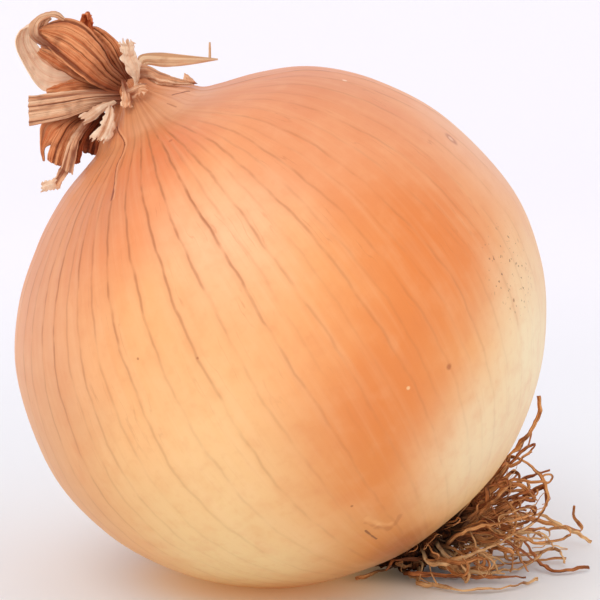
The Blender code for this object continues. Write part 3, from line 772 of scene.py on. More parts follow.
leaf_object("leaf_behind", [sheet_between(
    [(-22.9, 1.2, 80.7), (-26.1, 2.4, 84.5), (-28.2, 3.0, 87.3), (-29.5, 3.2, 89.3), (-30.0, 3.2, 90.1)],
    [(-21.9, 1.0, 81.7), (-23.2, 2.4, 85.1), (-24.2, 3.0, 87.6), (-26.0, 3.2, 89.3), (-27.7, 3.2, 90.2),
     (-29.0, 3.2, 90.3)],
    32, 48, bow=0.5, ribs=4, rib_depth=0.2, crinkle=0.35, torn=0.03, seed=3.7)],
    leaf_brown, "leaf_back_dark")
leaf_object("leaf_behind_tip", [strip_between(
    [(-29.0, 2.8, 89.2), (-29.2, 2.2, 90.4), (-29.4, 1.8, 91.3), (-29.0, 1.6, 92.1), (-28.6, 1.5, 92.0)],
    [1.4, 1.9, 2.0, 1.8, 1.3], [(1, 0, 0.2), (1, 0.3, 0), (0.9, -0.3, 0), (0.8, 0.5, 0), (0.8, 0.5, 0)],
    bow=-0.6, ribs=2, rib_depth=0.12, crinkle=0.2, torn=0.1, seed=4.1)],
    leaf_rust)


# ---- Pale cupped leaf ----
# A smooth, pale, rounded leaf at the far left.  It is one wide sheet, bowed backwards, so that it cups
# towards the front.

leaf_peach = papery("dried_leaf_peach", rgb(255, 228, 196), rgb(251, 206, 170), rgb(218, 142, 100),
                    base_dark=0.4)

leaf_object("cupped_leaf", [sheet_between(
    [(-22.8, 0.4, 80.1), (-29.6, 0.8, 81.1), (-33.8, 1.0, 80.7), (-36.0, 1.0, 80.1), (-37.6, 0.9, 81.4),
     (-39.0, 0.6, 83.8), (-40.4, -0.2, 87.0), (-40.4, -0.6, 88.8), (-39.5, -1.0, 90.0), (-38.2, -1.4, 90.5)],
    [(-22.5, 0.4, 81.3), (-28.3, 1.0, 83.0), (-32.5, 1.6, 84.6), (-35.4, 1.6, 85.6), (-36.7, 1.2, 86.9),
     (-37.4, 0.6, 88.0), (-37.6, -0.2, 89.2), (-37.9, -1.2, 90.3)],
    44, 60, bow=-0.9, ribs=3, rib_depth=0.05, crinkle=0.3, torn=0.01, seed=5.9)],
    leaf_peach, "leaf_pale_cup")


# ---- Ribbed band ----
# A flat ribbed band that points left from the neck and is cut square at its end, one nearly flat
# sheet with six ribs.

leaf_object("ribbed_band", [sheet_between(
    [(-22.8, -3.4, 80.6), (-28.4, -4.2, 80.8), (-32.9, -4.8, 80.5), (-38.3, -5.2, 79.9)],
    [(-23.2, -3.6, 78.6), (-28.6, -4.4, 77.6), (-32.8, -5.0, 76.2), (-38.2, -5.4, 75.2)],
    56, 48, bow=0.25, ribs=6, rib_depth=0.13, crinkle=0.2, torn=0.02, seed=7.2)],
    leaf_tan, "leaf_ribbed_band")


# ---- Hanging strips ----
# Folded strips below the band, the front ones lighter, with a dark pleated mass behind them.  The leaf
# that hangs furthest back also shows as a brown layer above the band.

leaf_dark = papery("dried_leaf_dark", rgb(194, 104, 58), rgb(152, 68, 30), rgb(76, 24, 6), base_dark=0.8)
leaf_pale = papery("dried_leaf_pale", rgb(246, 218, 188), rgb(238, 196, 160), rgb(206, 146, 106),
                   base_dark=0.25)

leaf_object("hanging_left", [
    sheet_between(
        [(-29.9, -3.0, 77.3), (-33.7, -3.4, 76.5), (-36.1, -3.6, 75.6), (-36.5, -3.6, 73.5),
         (-36.5, -3.4, 71.1), (-36.1, -3.2, 69.3)],
        [(-29.3, -3.0, 76.6), (-31.3, -3.3, 74.6), (-32.6, -3.4, 73.4), (-34.2, -3.4, 72.2),
         (-35.8, -3.4, 71.4), (-35.9, -3.2, 69.2)],
        20, 44, bow=0.3, ribs=2, rib_depth=0.15, crinkle=0.3, torn=0.04, seed=8.1),
    sheet_between(
        [(-29.6, -3.0, 76.8), (-32.4, -3.8, 75.6), (-34.2, -4.0, 73.1), (-35.2, -4.0, 70.9),
         (-35.4, -3.6, 69.4)],
        [(-28.7, -3.0, 76.3), (-30.4, -3.8, 74.5), (-31.7, -4.0, 72.1), (-32.5, -4.0, 70.1),
         (-33.0, -3.6, 68.4)],
        26, 44, bow=0.5, ribs=3, rib_depth=0.18, crinkle=0.3, torn=0.04, seed=8.8)],
    leaf_brown, "leaf_hanging_left")
leaf_object("hanging_middle", [sheet_between(
    [(-28.5, -1.4, 76.8), (-30.7, -1.6, 74.6), (-32.0, -1.8, 72.1), (-32.4, -1.8, 69.5), (-31.2, -1.6, 68.8)],
    [(-26.9, -1.4, 76.2), (-28.8, -1.6, 73.9), (-29.8, -1.8, 71.7), (-30.2, -1.8, 69.8), (-30.4, -1.6, 68.8)],
    24, 40, bow=0.4, ribs=3, rib_depth=0.2, crinkle=0.3, torn=0.06, seed=9.4)],
    leaf_dark, "leaf_hanging_middle")
leaf_object("hanging_right", [sheet_between(
    [(-26.8, 0.4, 77.0), (-30.3, 0.6, 73.4), (-31.5, 0.8, 70.1)],
    [(-25.0, 0.2, 75.6), (-26.9, 0.4, 72.1), (-27.6, 0.6, 69.6)],
    32, 40, bow=0.5, ribs=4, rib_depth=0.25, crinkle=0.35, torn=0.10, seed=10.3)],
    leaf_dark, "leaf_hanging_right")
leaf_object("hanging_behind", [
    sheet_between(
        [(-26.4, 1.9, 79.4), (-31.4, 2.8, 76.4), (-34.4, 3.2, 72.0), (-33.6, 3.0, 68.2)],
        [(-25.6, 1.9, 77.6), (-29.2, 2.8, 74.4), (-30.8, 3.2, 71.2), (-31.2, 3.0, 67.9)],
        24, 36, bow=-0.6, ribs=4, rib_depth=0.25, crinkle=0.3, torn=0.08, seed=11.6),
    sheet_between(
        [(-23.6, -1.2, 80.6), (-28.0, -1.2, 82.0), (-31.2, -1.2, 82.3), (-33.7, -1.4, 81.4),
         (-35.6, -1.6, 80.4)],
        [(-23.6, -2.4, 79.8), (-28.0, -3.0, 79.5), (-31.1, -3.2, 79.3), (-33.6, -3.4, 79.1),
         (-35.6, -3.4, 79.3)],
        28, 40, bow=0.4, ribs=3, rib_depth=0.2, crinkle=0.35, torn=0.05, seed=11.1)],
    leaf_brown, "leaf_hanging_behind")
leaf_object("dangling_strip", [
    sheet_between(
        [(-28.5, -4.8, 77.0), (-31.0, -5.8, 73.9), (-32.1, -6.0, 71.6), (-33.2, -5.8, 68.0)],
        [(-27.4, -4.8, 76.5), (-29.8, -5.8, 73.3), (-30.4, -6.0, 71.3), (-31.2, -5.8, 67.0)],
        16, 36, bow=0.25, ribs=2, rib_depth=0.12, crinkle=0.3, torn=0.08, seed=12.4),
    sheet_between(
        [(-32.9, -5.9, 69.4), (-33.9, -5.7, 67.2), (-34.9, -5.5, 65.9)],
        [(-31.6, -5.9, 68.2), (-32.7, -5.7, 66.6), (-33.5, -5.5, 65.0)],
        12, 24, bow=0.2, ribs=1, rib_depth=0.08, crinkle=0.4, torn=0.12, seed=13.4)],
    leaf_tan, "leaf_dangling_strip")
leaf_object("dangling_tip", [sheet_between(
    [(-33.4, -5.6, 66.8), (-35.1, -5.5, 66.6), (-36.6, -5.4, 65.9)],
    [(-33.4, -5.6, 65.2), (-34.9, -5.5, 64.8), (-36.8, -5.4, 64.6)],
    12, 20, bow=0.2, ribs=1, rib_depth=0.06, crinkle=0.4, torn=0.25, seed=13.9)],
    leaf_pale)


# ---- Torn flakes ----
# Pale scraps of the outermost skin, torn round the neck and standing off it, with deeply torn ends
# and strong crinkles.

leaf_object("upright_flake", [sheet_between(
    [(-21.2, -4.8, 81.6), (-21.9, -5.2, 83.8), (-23.3, -5.6, 85.7), (-23.1, -6.0, 87.3), (-23.4, -6.0, 88.6),
     (-23.8, -6.0, 90.6)],
    [(-20.9, -4.8, 81.9), (-20.1, -5.2, 84.4), (-20.6, -5.6, 86.3), (-21.1, -6.0, 87.8), (-21.4, -6.0, 88.6),
     (-21.3, -6.0, 89.9)],
    32, 44, bow=0.4, ribs=2, rib_depth=0.14, crinkle=0.5, torn=0.42, seed=14.2)],
    leaf_pale, "leaf_upright_flake")
leaf_object("star_flake", [
    sheet_between(
        [(-23.3, -6.2, 82.7), (-23.1, -6.6, 80.8), (-23.2, -6.9, 79.1), (-23.0, -7.0, 77.9)],
        [(-22.7, -6.2, 82.3), (-21.7, -6.6, 80.6), (-21.4, -6.9, 79.2), (-21.7, -7.0, 77.7)],
        20, 30, bow=0.4, ribs=1.4, rib_depth=0.12, crinkle=0.6, torn=0.25, seed=15.7),
    sheet_between(
        [(-23.2, -6.4, 80.9), (-21.6, -6.4, 81.5), (-20.3, -6.3, 82.0), (-18.6, -6.0, 82.3)],
        [(-22.5, -6.6, 79.2), (-21.1, -6.6, 80.0), (-20.2, -6.5, 80.5), (-19.0, -6.1, 80.2)],
        20, 30, bow=0.4, ribs=1.4, rib_depth=0.12, crinkle=0.6, torn=0.35, seed=16.3)],
    leaf_tan, "leaf_star_flake")
leaf_object("torn_band_flake", [sheet_between(
    [(-24.5, -5.2, 79.2), (-26.9, -5.8, 78.6), (-28.4, -6.2, 77.6), (-30.6, -6.6, 76.5)],
    [(-24.1, -5.2, 78.9), (-25.9, -5.8, 77.7), (-27.6, -6.2, 76.3), (-29.8, -6.6, 75.2)],
    16, 30, bow=0.3, ribs=1.4, rib_depth=0.08, crinkle=0.4, torn=0.2, seed=17.5)],
    leaf_pale, "leaf_torn_band")
leaf_object("jagged_flake", [sheet_between(
    [(-25.2, -6.6, 78.7), (-26.1, -7.2, 76.6), (-27.1, -7.4, 74.7), (-28.8, -7.4, 72.7)],
    [(-24.6, -6.6, 78.0), (-24.1, -7.2, 76.6), (-24.5, -7.4, 74.6), (-25.5, -7.4, 72.1)],
    28, 36, bow=0.5, ribs=1.6, rib_depth=0.12, crinkle=0.6, torn=0.25, seed=18.1)],
    leaf_pale, "leaf_jagged_flake")


# ---- Pointed blade and shred ----
# A straight pointed blade behind the neck with a thread standing on it, and a twisted brown shred
# that lies along the shoulder.

leaf_straw = papery("dried_leaf_straw", rgb(254, 224, 184), rgb(243, 198, 152), rgb(200, 140, 96),
                    base_dark=0.3)

leaf_object("pointed_blade", [
    sheet_between(
        [(-21.2, 2.0, 81.6), (-21.2, 3.4, 83.7), (-21.0, 4.2, 85.6), (-17.9, 5.0, 86.0), (-14.1, 5.6, 85.6),
         (-8.4, 6.0, 84.9)],
        [(-20.5, 2.0, 81.6), (-20.4, 3.4, 83.1), (-19.8, 4.2, 84.1), (-17.0, 5.0, 83.7), (-13.1, 5.6, 84.0),
         (-8.4, 6.0, 84.8)],
        20, 60, bow=0.3, ribs=2, rib_depth=0.07, crinkle=0.15, torn=0.0, seed=19.9),
    strip_between([(-9.7, 5.9, 84.6), (-9.7, 5.9, 86.2), (-9.7, 5.8, 87.7)], [0.4, 0.4, 0.3],
                  [(1, 0, 0), (1, 0.3, 0), (1, 0, 0)], columns=2, rows=8,
                  bow=0, ribs=1, rib_depth=0, crinkle=0)],
    leaf_straw, "leaf_pointed_blade")
leaf_object("twisted_shred", [
    sheet_between(
        [(-22.4, -1.6, 82.2), (-21.7, -2.2, 84.0), (-19.4, -2.6, 84.6), (-17.2, -2.6, 83.5),
         (-14.7, -2.6, 82.6), (-11.9, -2.2, 81.9)],
        [(-21.9, -1.6, 81.3), (-20.3, -1.9, 81.6), (-18.5, -2.0, 81.5), (-17.0, -2.0, 81.3),
         (-14.7, -2.2, 81.5), (-11.6, -2.0, 81.5)],
        28, 56, bow=0.5, ribs=3, rib_depth=0.2, crinkle=0.4, torn=0.06, seed=21.1),
    sheet_between([(-14.2, -2.4, 81.8), (-13.6, -2.7, 82.6), (-13.4, -2.8, 83.4)],
                  [(-11.4, -2.4, 81.6), (-12.0, -2.6, 82.2), (-13.1, -2.8, 83.2)],
                  12, 16, bow=0.2, ribs=1, rib_depth=0.06, crinkle=0.3, torn=0.1, seed=22.4)],
    leaf_tan, "leaf_twisted_shred")


# ---- Root plate ----
# The corky brown disc at the foot of the bulb, in which the roots end.  It is a flattened ball, knobbly
# where roots have come away, held a hair's breadth off the skin.

PLATE_RADIUS = 5.4
PLATE_THICKNESS = 1.5
PLATE_ABOVE, PLATE_BELOW = 1.1, 1.25
GAP = 0.3


def plate_middle():
    """The middle of the bulb's root end, in mm."""
    return BULB_CENTRE / MM - NECK_AXIS * ROOT_END


bpy.ops.object.select_all(action="DESELECT")
bpy.ops.mesh.primitive_uv_sphere_add(segments=72, ring_count=36, radius=1)
plate = bpy.context.object
plate.name = "root_disc"
for v in plate.data.vertices:
    side = v.co.copy()
    bump = 0.10 * noise.noise(side * 3.1) + 0.05 * noise.noise(side * 9.0)
    reach = PLATE_RADIUS * (1 + bump * 0.6)
    depth = PLATE_BELOW + 5 * bump if side.z < 0 else PLATE_ABOVE
    at = Vector((side.x * reach, side.y * reach, side.z * depth))
    middle = plate_middle() - NECK_AXIS * (GAP + 0.6)
    v.co = (middle + BULB_TURN @ at) * MM
bpy.ops.object.shade_smooth()
mat, shader, maker = new_material("corky_disc", roughness=0.9, specular=0.15)
place = place_of(maker)
cork, pores = place.noise(900.0, 3.0), place.noise(2600.0, 2.0)
colour = cork.within(0.35, 0.7).mix(rgb(70, 36, 18), rgb(138, 86, 48))
feed(shader, "Base Color", (pores.within(0.5, 0.75) * 0.6).mix(colour, rgb(34, 16, 8)))
relief = cork * 0.8 + pores * 0.4
emboss(shader, relief, 0.8, 0.4 * MM)
plate.data.materials.clear()
plate.data.materials.append(mat)
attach(plate, "root")
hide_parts("root_plate")


# ---- Roots ----
# Dead roots, dried to flat twisted cords that fan out from the plate and tangle.  Each starts from
# its own listed route and then settles round the others, the bulb, the plate and the floor.

ROOT_SPACING = 2.1
ROOT_CLEARANCE = 0.42
LOWEST_ROOT = 0.65
LOWEST_SURFACE = 0.12
DENSE = 4
SETTLE_ROUNDS = 160
# noise_vector takes its offsets from the clock until it is given a seed.
ROOT_SHAKE_SEED = 11
ROOT_SIDES = 8
RING_SPACING = 0.45
START_REACHES = (0.45, 0.7, 0.95)
LIGHT_ROOTS = ("front_bow", "fan_front_low", "arc_right", "long_right", "floor_front")
# Where the tangle lies deepest in its own shade: the middle, and the radii of full and of no shade.
RECESSES = [(Vector((25.5, 2.0, 8.5)), 6, 10), (Vector((20.0, -0.5, 6.5)), 5.5, 8.5)]

# Each root: the places it passes on its way out from the root plate, and its thickness.
ROOTS = [
    ("climber_front", [(29.5, 4.5, 5.5), (33.5, 6, 9), (37.5, 5.5, 15.5), (39.6, 5, 19), (41.4, 4, 21.4),
                       (43.2, 3, 24), (44.4, 2, 27), (44.2, 1, 30)], 1.0),
    ("loop_high", [(31, 6, 5), (36, 9, 10.5), (38.5, 9, 16.5), (41, 8, 18.2), (43.5, 7, 17), (45.8, 6, 14.5),
                   (46.4, 5, 11.5), (44.8, 4, 9.2), (42, 3, 8.5)], 0.9),
    ("blunt_end", [(30, 8, 4), (33.5, 10, 7), (38.7, 11, 10), (42.8, 10, 13.7), (47, 8, 15.7)], 1.1),
    ("long_right", [(30, 9, 3), (35.5, 12, 4.2), (40.7, 14, 6), (45, 15, 6.2), (49.4, 16, 4.2),
                    (53.4, 17, 1.9), (55.2, 17.3, 0.7)], 0.9),
    ("hooked_right", [(33.8, 13, 2.5), (42.5, 18.5, 4.4), (49.7, 19, 3), (53.7, 19, 2.2), (52.6, 18.2, 4.5),
                      (52.2, 17.8, 7)], 0.8),
    ("low_right", [(30, 2, 4.5), (34.8, 3, 7.6), (39, 4, 6), (41.7, 4.5, 3.8), (44, 3.5, 1.4), (45.7, 1, 0.7),
                   (48, -0.5, 0.7), (53, 1.5, 0.9)], 1.1),
    ("arc_right", [(31, 5, 1.5), (38.6, 8, 0.8), (45.4, 8.5, 1.2), (47.6, 8.6, 1.9), (48.9, 7, 1.6),
                   (49.2, 4, 0.8)], 0.8),
    ("front_left", [(26.5, -1, 3.2), (25, -3.4, 3), (22, -3.8, 2.2), (17.5, -3.8, 1.2),
                    (14, -5.5, 0.7)], 0.9),
    ("front_turn", [(25.3, -2, 2.8), (22.6, -5, 2.2), (24.4, -7, 1.3), (29.6, -6, 0.9), (36, -6, 0.8),
                    (42.3, -5.6, 0.9)], 0.9),
    ("front_bow", [(25.0, -3, 2.2), (24.6, -7, 0.9), (28.4, -9.4, 0.7), (32.5, -11.2, 0.7), (38.9, -9.4, 0.7),
                   (43.8, -5, 0.7)], 0.9),
    ("fan_front_high", [(28, -3, 5.2), (29.6, -4.6, 7.2), (32.8, -4.8, 8.9), (39.2, -3.6, 9.9),
                        (43.6, 0, 10.4)], 0.66),
    ("fan_front_low", [(26, -5, 3), (32.6, -5.4, 4.8), (39.3, -3.6, 7.3), (44, 0.5, 8.8)], 0.9),
    ("drop_front", [(31.5, 4, 6.6), (35, 4.6, 9.4), (38.9, 2.6, 11.6), (40.6, 1.4, 9.6), (40.4, 0, 4.9),
                    (39.8, -2, 0.9)], 0.9),
    ("drop_middle", [(33, 5, 4), (38.4, 6, 7), (41.4, 5, 4.2), (42, 3, 1.6), (42.6, -1.5, 0.9)], 0.9),
    ("curl_front", [(26.5, -3, 3.2), (24, -5, 3.7), (22.2, -6.5, 4.1), (20.2, -7.4, 4.2),
                    (18.8, -7.2, 2.8)], 0.8),
    ("fan_a", [(29, 1, 5.5), (33, 1, 9), (37, 0, 13), (39.8, -0.5, 16)], 1.0),
    ("fan_b", [(30, 3, 5), (34, 3, 10.5), (37.5, 2.4, 14.5), (41.5, 2, 14.6), (44.4, 2, 12)], 1.0),
    ("fan_c", [(28.5, -1, 5), (32, -2, 7), (36, -2.2, 7.6), (40, -2, 5.5), (43.6, -2.2, 3)], 0.9),
    ("back_long", [(27, 5, 3.5), (28, 9, 3), (30, 14, 2.2), (34, 19, 1.2), (39, 23, 0.8)], 1.0),
    ("back_left", [(25, 6, 3), (24, 10, 3), (22, 15, 1.8), (18, 19, 0.8)], 0.9),
    ("back_right", [(28, 7, 3), (32, 12, 2.5), (38, 20.5, 2), (44, 24, 1.2), (48, 26, 0.8)], 0.9),
    ("back_wavy", [(26, 6, 2.5), (26.6, 11, 1.4), (25, 17, 0.8), (27, 22, 0.8), (31, 26, 0.8)], 0.9),
    ("climber_back", [(29, 8, 5), (32, 13, 9), (33.8, 16, 14), (35, 17, 19)], 0.9),
    ("climber_side", [(31, 8, 6), (35.5, 12, 12), (38.4, 13, 17), (40.8, 12, 20.5)], 1.0),
    ("floor_middle", [(29, 2, 1.5), (34, 1, 0.9), (39, 3, 0.8), (44, 5.5, 0.8), (50, 6.5, 0.8)], 0.9),
    ("floor_front", [(28, -1, 2), (32, -2.5, 1), (37, -1.5, 0.8), (41, 1, 0.8), (46, 2.8, 1.6)], 0.9),
    ("loop_back", [(32, 7, 3), (38, 10.5, 6.5), (43, 12, 9.8), (46.4, 11, 12), (46, 9.6, 8),
                   (42, 9, 4.6)], 0.9),
    ("tick_high", [(33, 9, 7), (37, 9.5, 13.5), (40.6, 8.6, 17), (43, 7, 20.2), (43.4, 5.6, 22.8)], 0.8),
    ("back_under", [(23, 5, 2.5), (20, 9, 2), (15, 12, 0.8)], 0.8),
    ("under_bulb", [(24, 1, 2.2), (20.5, 1.5, 1.4), (16.6, 2.5, 0.8)], 0.8),
]


def skin_distance(angle):
    """Distance from the bulb's centre to its skin in mm, at an angle in degrees from the neck axis."""
    table = np.array([*BULB_PROFILE, (180, ROOT_END)])
    return np.interp(angle, table[:, 0], table[:, 1])


def root_start(first_place, order):
    """Where a root leaves the plate: under the plate, on the side that the root heads for."""
    middle = np.array(plate_middle())
    down = -np.array(NECK_AXIS)
    aside = np.array(first_place) - middle
    aside = aside - down * aside.dot(down)
    aside = aside / np.linalg.norm(aside)
    reach = PLATE_RADIUS * START_REACHES[order % 3]
    return middle + down * (3 * GAP + PLATE_THICKNESS + 0.6) + aside * reach


def settle(routes, radii):
    """Moves the roots' places apart until no root is in another, in the bulb, the plate or the floor."""
    middle, centre, axis = np.array(plate_middle()), np.array(BULB_CENTRE) / MM, np.array(NECK_AXIS)
    sizes = [len(r) for r in routes]
    ends = np.cumsum(sizes)[:-1]
    start = np.vstack(routes)
    places = start.copy()
    weights, owner, thick = [], [], []
    first = 0
    for k, size in enumerate(sizes):
        for t in np.linspace(0, size - 1, (size - 1) * DENSE + 1):
            i = min(int(t), size - 2)
            row = np.zeros(len(places))
            row[first + i], row[first + i + 1] = 1 - (t - i), t - i
            weights.append(row)
            owner.append(k)
            thick.append(radii[k])
        first += size
    weights, owner, thick = np.array(weights), np.array(owner), np.array(thick)
    share = weights.sum(axis=0)[:, None]
    apart = thick[:, None] + thick[None, :] + ROOT_CLEARANCE
    apart[owner[:, None] == owner[None, :]] = 0
    for _ in range(SETTLE_ROUNDS):
        # away from the other roots
        dense = weights @ places
        square = (dense**2).sum(axis=1)
        away = np.sqrt(np.clip(square[:, None] + square[None, :] - 2 * dense @ dense.T, 1e-9, None))
        pull = np.clip(apart - away, 0, None) / away
        push = (dense * pull.sum(axis=1)[:, None] - pull @ dense) * 0.4
        # out of the bulb
        spoke = dense - centre
        length = np.linalg.norm(spoke, axis=1)
        angle = np.degrees(np.arccos(np.clip(spoke @ axis / length, -1, 1)))
        inside = np.clip(skin_distance(angle) + thick + ROOT_CLEARANCE + 0.1 - length, 0, None)
        push += spoke / length[:, None] * inside[:, None]
        # down from the plate
        drop = (dense - middle) @ -axis
        radial = np.linalg.norm(dense - middle + axis * drop[:, None], axis=1)
        plate_bottom = 2 * GAP + PLATE_THICKNESS + ROOT_CLEARANCE
        near = radial < PLATE_RADIUS + thick + ROOT_CLEARANCE
        under = np.where(near, np.clip(plate_bottom + thick - drop, 0, None), 0)
        push -= axis * under[:, None]
        # evened out along each root, and up from the floor
        shift = places + weights.T @ push / share - start
        for run in np.split(shift, ends):
            run[1:-1] += 0.1 * (run[:-2] + run[2:] - 2 * run[1:-1])
        places = start + shift
        places[:, 2] = np.maximum(places[:, 2], LOWEST_ROOT)
    return np.split(places, ends)


def root_routes():
    """Every root's route, from the plate to its tip, after the roots have settled round each other."""
    routes, radii = [], []
    for order, (_, places, thickness) in enumerate(ROOTS):
        whole = [root_start(places[0], order), *places]
        length = sum(math.dist(a, b) for a, b in zip(whole, whole[1:]))
        routes.append(smooth_through(whole, max(5, round(length / ROOT_SPACING))))
        radii.append(thickness / 2)
    return settle(routes, radii)


def cord_mesh(route, width, flatness, twist, seed, taper=0.45, shake=0.30):
    """A dried root's mesh along a route in mm: a flat cord that twists, narrows and wrinkles."""
    length = sum(math.dist(a, b) for a, b in zip(route, route[1:]))
    stations = max(8, round(length / RING_SPACING))
    rail = smooth_through(route, stations)
    places, faces = [], []
    side = Vector((0, 0, 1)).cross(Vector(rail[1] - rail[0]))
    side = side.normalized() if side.length > 1e-6 else Vector((1, 0, 0))
    for i in range(stations):
        onward = Vector(rail[min(i + 1, stations - 1)] - rail[max(i - 1, 0)]).normalized()
        side = (side - onward * side.dot(onward)).normalized()
        other = onward.cross(side)
        t = i / (stations - 1)
        at = Vector(rail[i])
        wave = Vector((at.x * 0.8, at.y * 0.8 + seed * 3.7, at.z * 0.8))
        at = at + noise.noise_vector(wave) * shake * min(1.0, t * 6)
        angle = twist * t + 2.2 * noise.noise(Vector((t * 3, seed, 0.5)))
        swell = 1 + 0.34 * noise.noise(Vector((t * length * 0.45, seed, 4.5)))
        half = width / 2 * swell * (1 - taper * t**1.6)
        thin = flatness * (1 + 0.4 * noise.noise(Vector((t * length * 0.3, seed, 8.5))))
        for k in range(ROOT_SIDES):
            a = 2 * math.pi * k / ROOT_SIDES
            wide, deep = math.cos(a) * half, math.sin(a) * half * thin
            deep += 0.16 * half * math.cos(2 * a)
            over = side * (math.cos(angle) * wide - math.sin(angle) * deep)
            over += other * (math.sin(angle) * wide + math.cos(angle) * deep)
            spot = at + over
            places.append((spot.x * MM, spot.y * MM, max(spot.z, LOWEST_SURFACE) * MM))
    for i in range(stations - 1):
        ring, onto = i * ROOT_SIDES, (i + 1) * ROOT_SIDES
        for k in range(ROOT_SIDES):
            n = (k + 1) % ROOT_SIDES
            faces.append((ring + k, ring + n, onto + n, onto + k))
    faces.append(tuple(reversed(range(ROOT_SIDES))))
    faces.append(tuple(range((stations - 1) * ROOT_SIDES, stations * ROOT_SIDES)))
    return places, faces, length


def root_object(name, cords, mat, node=None):
    """One piece from one or more cord meshes, with a map that runs round and along each."""
    places, faces, uvs = [], [], []
    for cord_places, cord_faces, length in cords:
        first = len(places)
        places += cord_places
        rows = len(cord_places) // ROOT_SIDES
        for face in cord_faces:
            faces.append(tuple(first + k for k in face))
            if len(face) == 4:
                row, k = divmod(face[0], ROOT_SIDES)
                u0, u1 = k / ROOT_SIDES, (k + 1) / ROOT_SIDES
                v0, v1 = row / rows * length, (row + 1) / rows * length
                uvs += [(u0, v0), (u1, v0), (u1, v1), (u0, v1)]
            else:
                uvs += [(0.5, 0 if face[0] < ROOT_SIDES else length)] * len(face)
    data = bpy.data.meshes.new(name)
    data.from_pydata(places, [], faces)
    data.uv_layers.new(name="cord").data.foreach_set("uv", np.array(uvs, np.float32).ravel())
    data.materials.append(mat)
    data.shade_smooth()
    root = bpy.data.objects.new(name, data)
    bpy.context.scene.collection.objects.link(root)
    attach(root, "root")
    if node:
        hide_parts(node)


def dry_root(name, light, mid, dark):
    """Dried root: fibres along it, with darker stretches, and shade in the depth of the tangle."""
    mat, shader, maker = new_material(name, roughness=0.7, specular=0.3)
    place = place_of(maker)
    around_uv, along_uv, _ = maker.node("UVMap", {"uv_map": "cord"}).parts()
    round_angle = around_uv * (2 * math.pi)
    ring_x, ring_y = round_angle.math("COSINE"), round_angle.math("SINE")
    fibre = maker.node("CombineXYZ", X=ring_x * 1.8, Y=ring_y * 1.8, Z=along_uv * 0.35).noise(1.0, 3.0)
    stretch = place.noise(420.0, 3.0)
    colour = fibre.within(0.35, 0.68).mix(mid, light)
    colour = (stretch.within(0.50, 0.72) * 0.75).mix(colour, dark)
    colour = ((1 - fibre.within(0.30, 0.46)) * 0.6).mix(colour, dark)
    for centre, deepest, edge in RECESSES:
        depth = 1 - place.distance(centre * MM).within(deepest * MM, edge * MM)
        colour = (depth * 0.90).mix(colour, rgb(40, 16, 6))
    feed(shader, "Base Color", colour)
    relief = fibre + stretch * 0.4
    emboss(shader, relief, 0.7, 0.2 * MM)
    return mat


root_mid = dry_root("dry_root", rgb(232, 168, 104), rgb(180, 104, 50), rgb(80, 34, 10))
root_light = dry_root("dry_root_light", rgb(246, 204, 148), rgb(216, 154, 92), rgb(130, 66, 26))
root_brown = dry_root("dry_root_brown", rgb(194, 118, 62), rgb(134, 68, 28), rgb(50, 20, 6))
noise.seed_set(ROOT_SHAKE_SEED)
for order, ((name, _, width), route) in enumerate(zip(ROOTS, root_routes())):
    mesh = cord_mesh(route, width * 1.15, 0.36, 5.0 - order % 5 * 2.4, order + 0.5)
    tone = root_light if name in LIGHT_ROOTS else (root_mid, root_mid, root_brown)[order % 3]
    root_object("strand_" + name, [mesh], tone, "root_" + name)


# ---- Crown and smaller roots ----
# The crumbly crown between the plate and the roots, its own brown darkened with painted shade, and the
# many smaller kinked roots of the tangle, which are too many to be pieces of their own.

CROWN_RADIUS = 6.6
CROWN_ABOVE, CROWN_BELOW = 0.5, 5.2
CROWN_LOWEST = 0.3
KINK_SPACING = 3.2
KINK_SIZE = 0.95
HOOKED_SHARE = 0.5
SKIN_CLEARANCE = 1.1
FLOOR_CLEARANCE = 0.6
# Each group: how many, the two corners of the box where they end, their widths, and their finishes.
TWIG_GROUPS = [
    ("tangle_up", 34, (34.5, -1, 8), (45.5, 12, 21), (0.6, 1.05), (root_mid, root_brown)),
    ("tangle_right", 20, (38, -4, 1), (49, 14, 9), (0.5, 0.95), (root_mid, root_light)),
    ("tangle_front", 20, (19, -9, 0.6), (41, -2.5, 4), (0.45, 0.9), (root_light, root_mid)),
    ("tangle_back", 20, (20, 5, 0.6), (42, 22, 9), (0.5, 0.95), (root_mid, root_brown)),
    ("rootlets", 44, (18, -9, 0.6), (46, 15, 17), (0.20, 0.42), (root_light, root_mid)),
]

bpy.ops.object.select_all(action="DESELECT")
bpy.ops.mesh.primitive_uv_sphere_add(segments=64, ring_count=40, radius=1)
crown = bpy.context.object
crown.name = "root_crown"
for v in crown.data.vertices:
    side = v.co.copy()
    bump = 1 + 0.30 * noise.noise(side * 2.7) + 0.16 * noise.noise(side * 7.0)
    bump += 0.08 * noise.noise(side * 17.0)
    depth = CROWN_BELOW if side.z < 0 else CROWN_ABOVE
    at = Vector((side.x * CROWN_RADIUS, side.y * CROWN_RADIUS, side.z * depth))
    v.co = plate_middle() - NECK_AXIS * (GAP + 1.2) + BULB_TURN @ at * bump
    v.co.z = max(v.co.z, CROWN_LOWEST)
    v.co *= MM
bpy.ops.object.shade_smooth()
mat, shader, maker = new_material("root_crown", roughness=0.95, specular=0.1)
place = place_of(maker)
crumbs, grit = place.noise(1100.0, 3.0), place.noise(3200.0, 2.0)
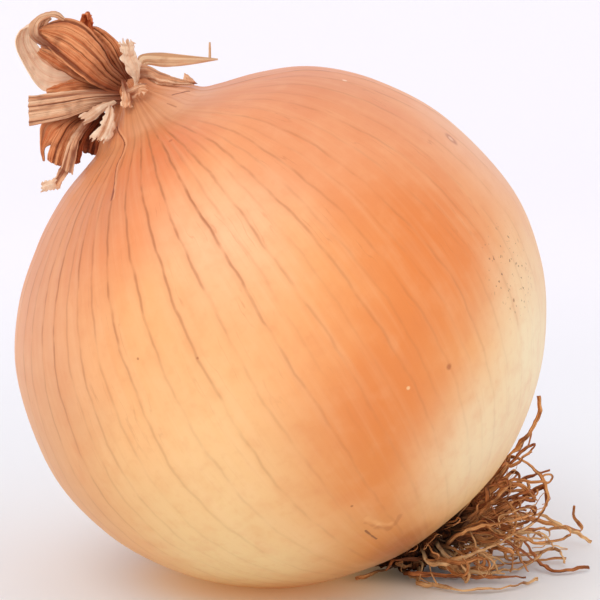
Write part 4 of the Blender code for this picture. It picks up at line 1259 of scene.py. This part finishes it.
# Painted shade: the crown's crumbly brown is darkened nearly to black for the shade in the hollow under the
# bulb.
colour = crumbs.within(0.40, 0.72).mix(rgb(30, 12, 6), rgb(104, 56, 28))
feed(shader, "Base Color", (grit.within(0.5, 0.7) * 0.6).mix(colour, rgb(16, 6, 3)))
relief = crumbs * 0.8 + grit * 0.4
emboss(shader, relief, 0.9, 0.5 * MM)
crown.data.materials.clear()
crown.data.materials.append(mat)
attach(crown, "root")


def twig_route(draw, low, high):
    """A small root's kinked way from the crown to a place in a box, kept off the bulb and the floor."""
    middle, down = plate_middle(), -NECK_AXIS
    goal = Vector([float(draw.uniform(a, b)) for a, b in zip(low, high)])
    aside = goal - middle
    aside = (aside - down * aside.dot(down)).normalized()
    at = middle + down * float(draw.uniform(2.0, 4.5)) + aside * PLATE_RADIUS * float(draw.uniform(0.3, 1.0))
    route = [at]
    stops = max(3, round((goal - at).length / KINK_SPACING))
    for k in range(1, stops + 1):
        kink = Vector([float(draw.normal(0, KINK_SIZE)) for _ in range(3)])
        route.append(at.lerp(goal, k / stops) + kink)
    if draw.uniform() < HOOKED_SHARE:
        back = (route[-1] - route[-2]).cross(Vector([float(draw.normal()) for _ in range(3)])).normalized()
        route.append(route[-1] + back * 1.6)
        route.append(route[-1] - (goal - at).normalized() * 1.8 + back * 0.6)
    for place in route:
        spoke = place - BULB_CENTRE / MM
        angle = math.degrees(math.acos(max(-1, min(1, spoke.normalized().dot(NECK_AXIS)))))
        least = float(skin_distance(angle)) + SKIN_CLEARANCE
        if spoke.length < least:
            place += spoke.normalized() * (least - spoke.length)
        place.z = max(place.z, FLOOR_CLEARANCE)
    return [tuple(place) for place in route]


draw = np.random.default_rng(23)
for order, (name, count, low, high, widths, tones) in enumerate(TWIG_GROUPS):
    for half, tone in enumerate(tones):
        cords = []
        for k in range(count // 2):
            route, width, twist = twig_route(draw, low, high), draw.uniform(*widths), draw.uniform(-5, 5)
            seed = order * 100 + half * 50 + k + 0.3
            cords.append(cord_mesh(route, float(width), 0.42, float(twist), seed, taper=0.5, shake=0.38))
        root_object(f"{name}_{half + 1}", cords, tone)
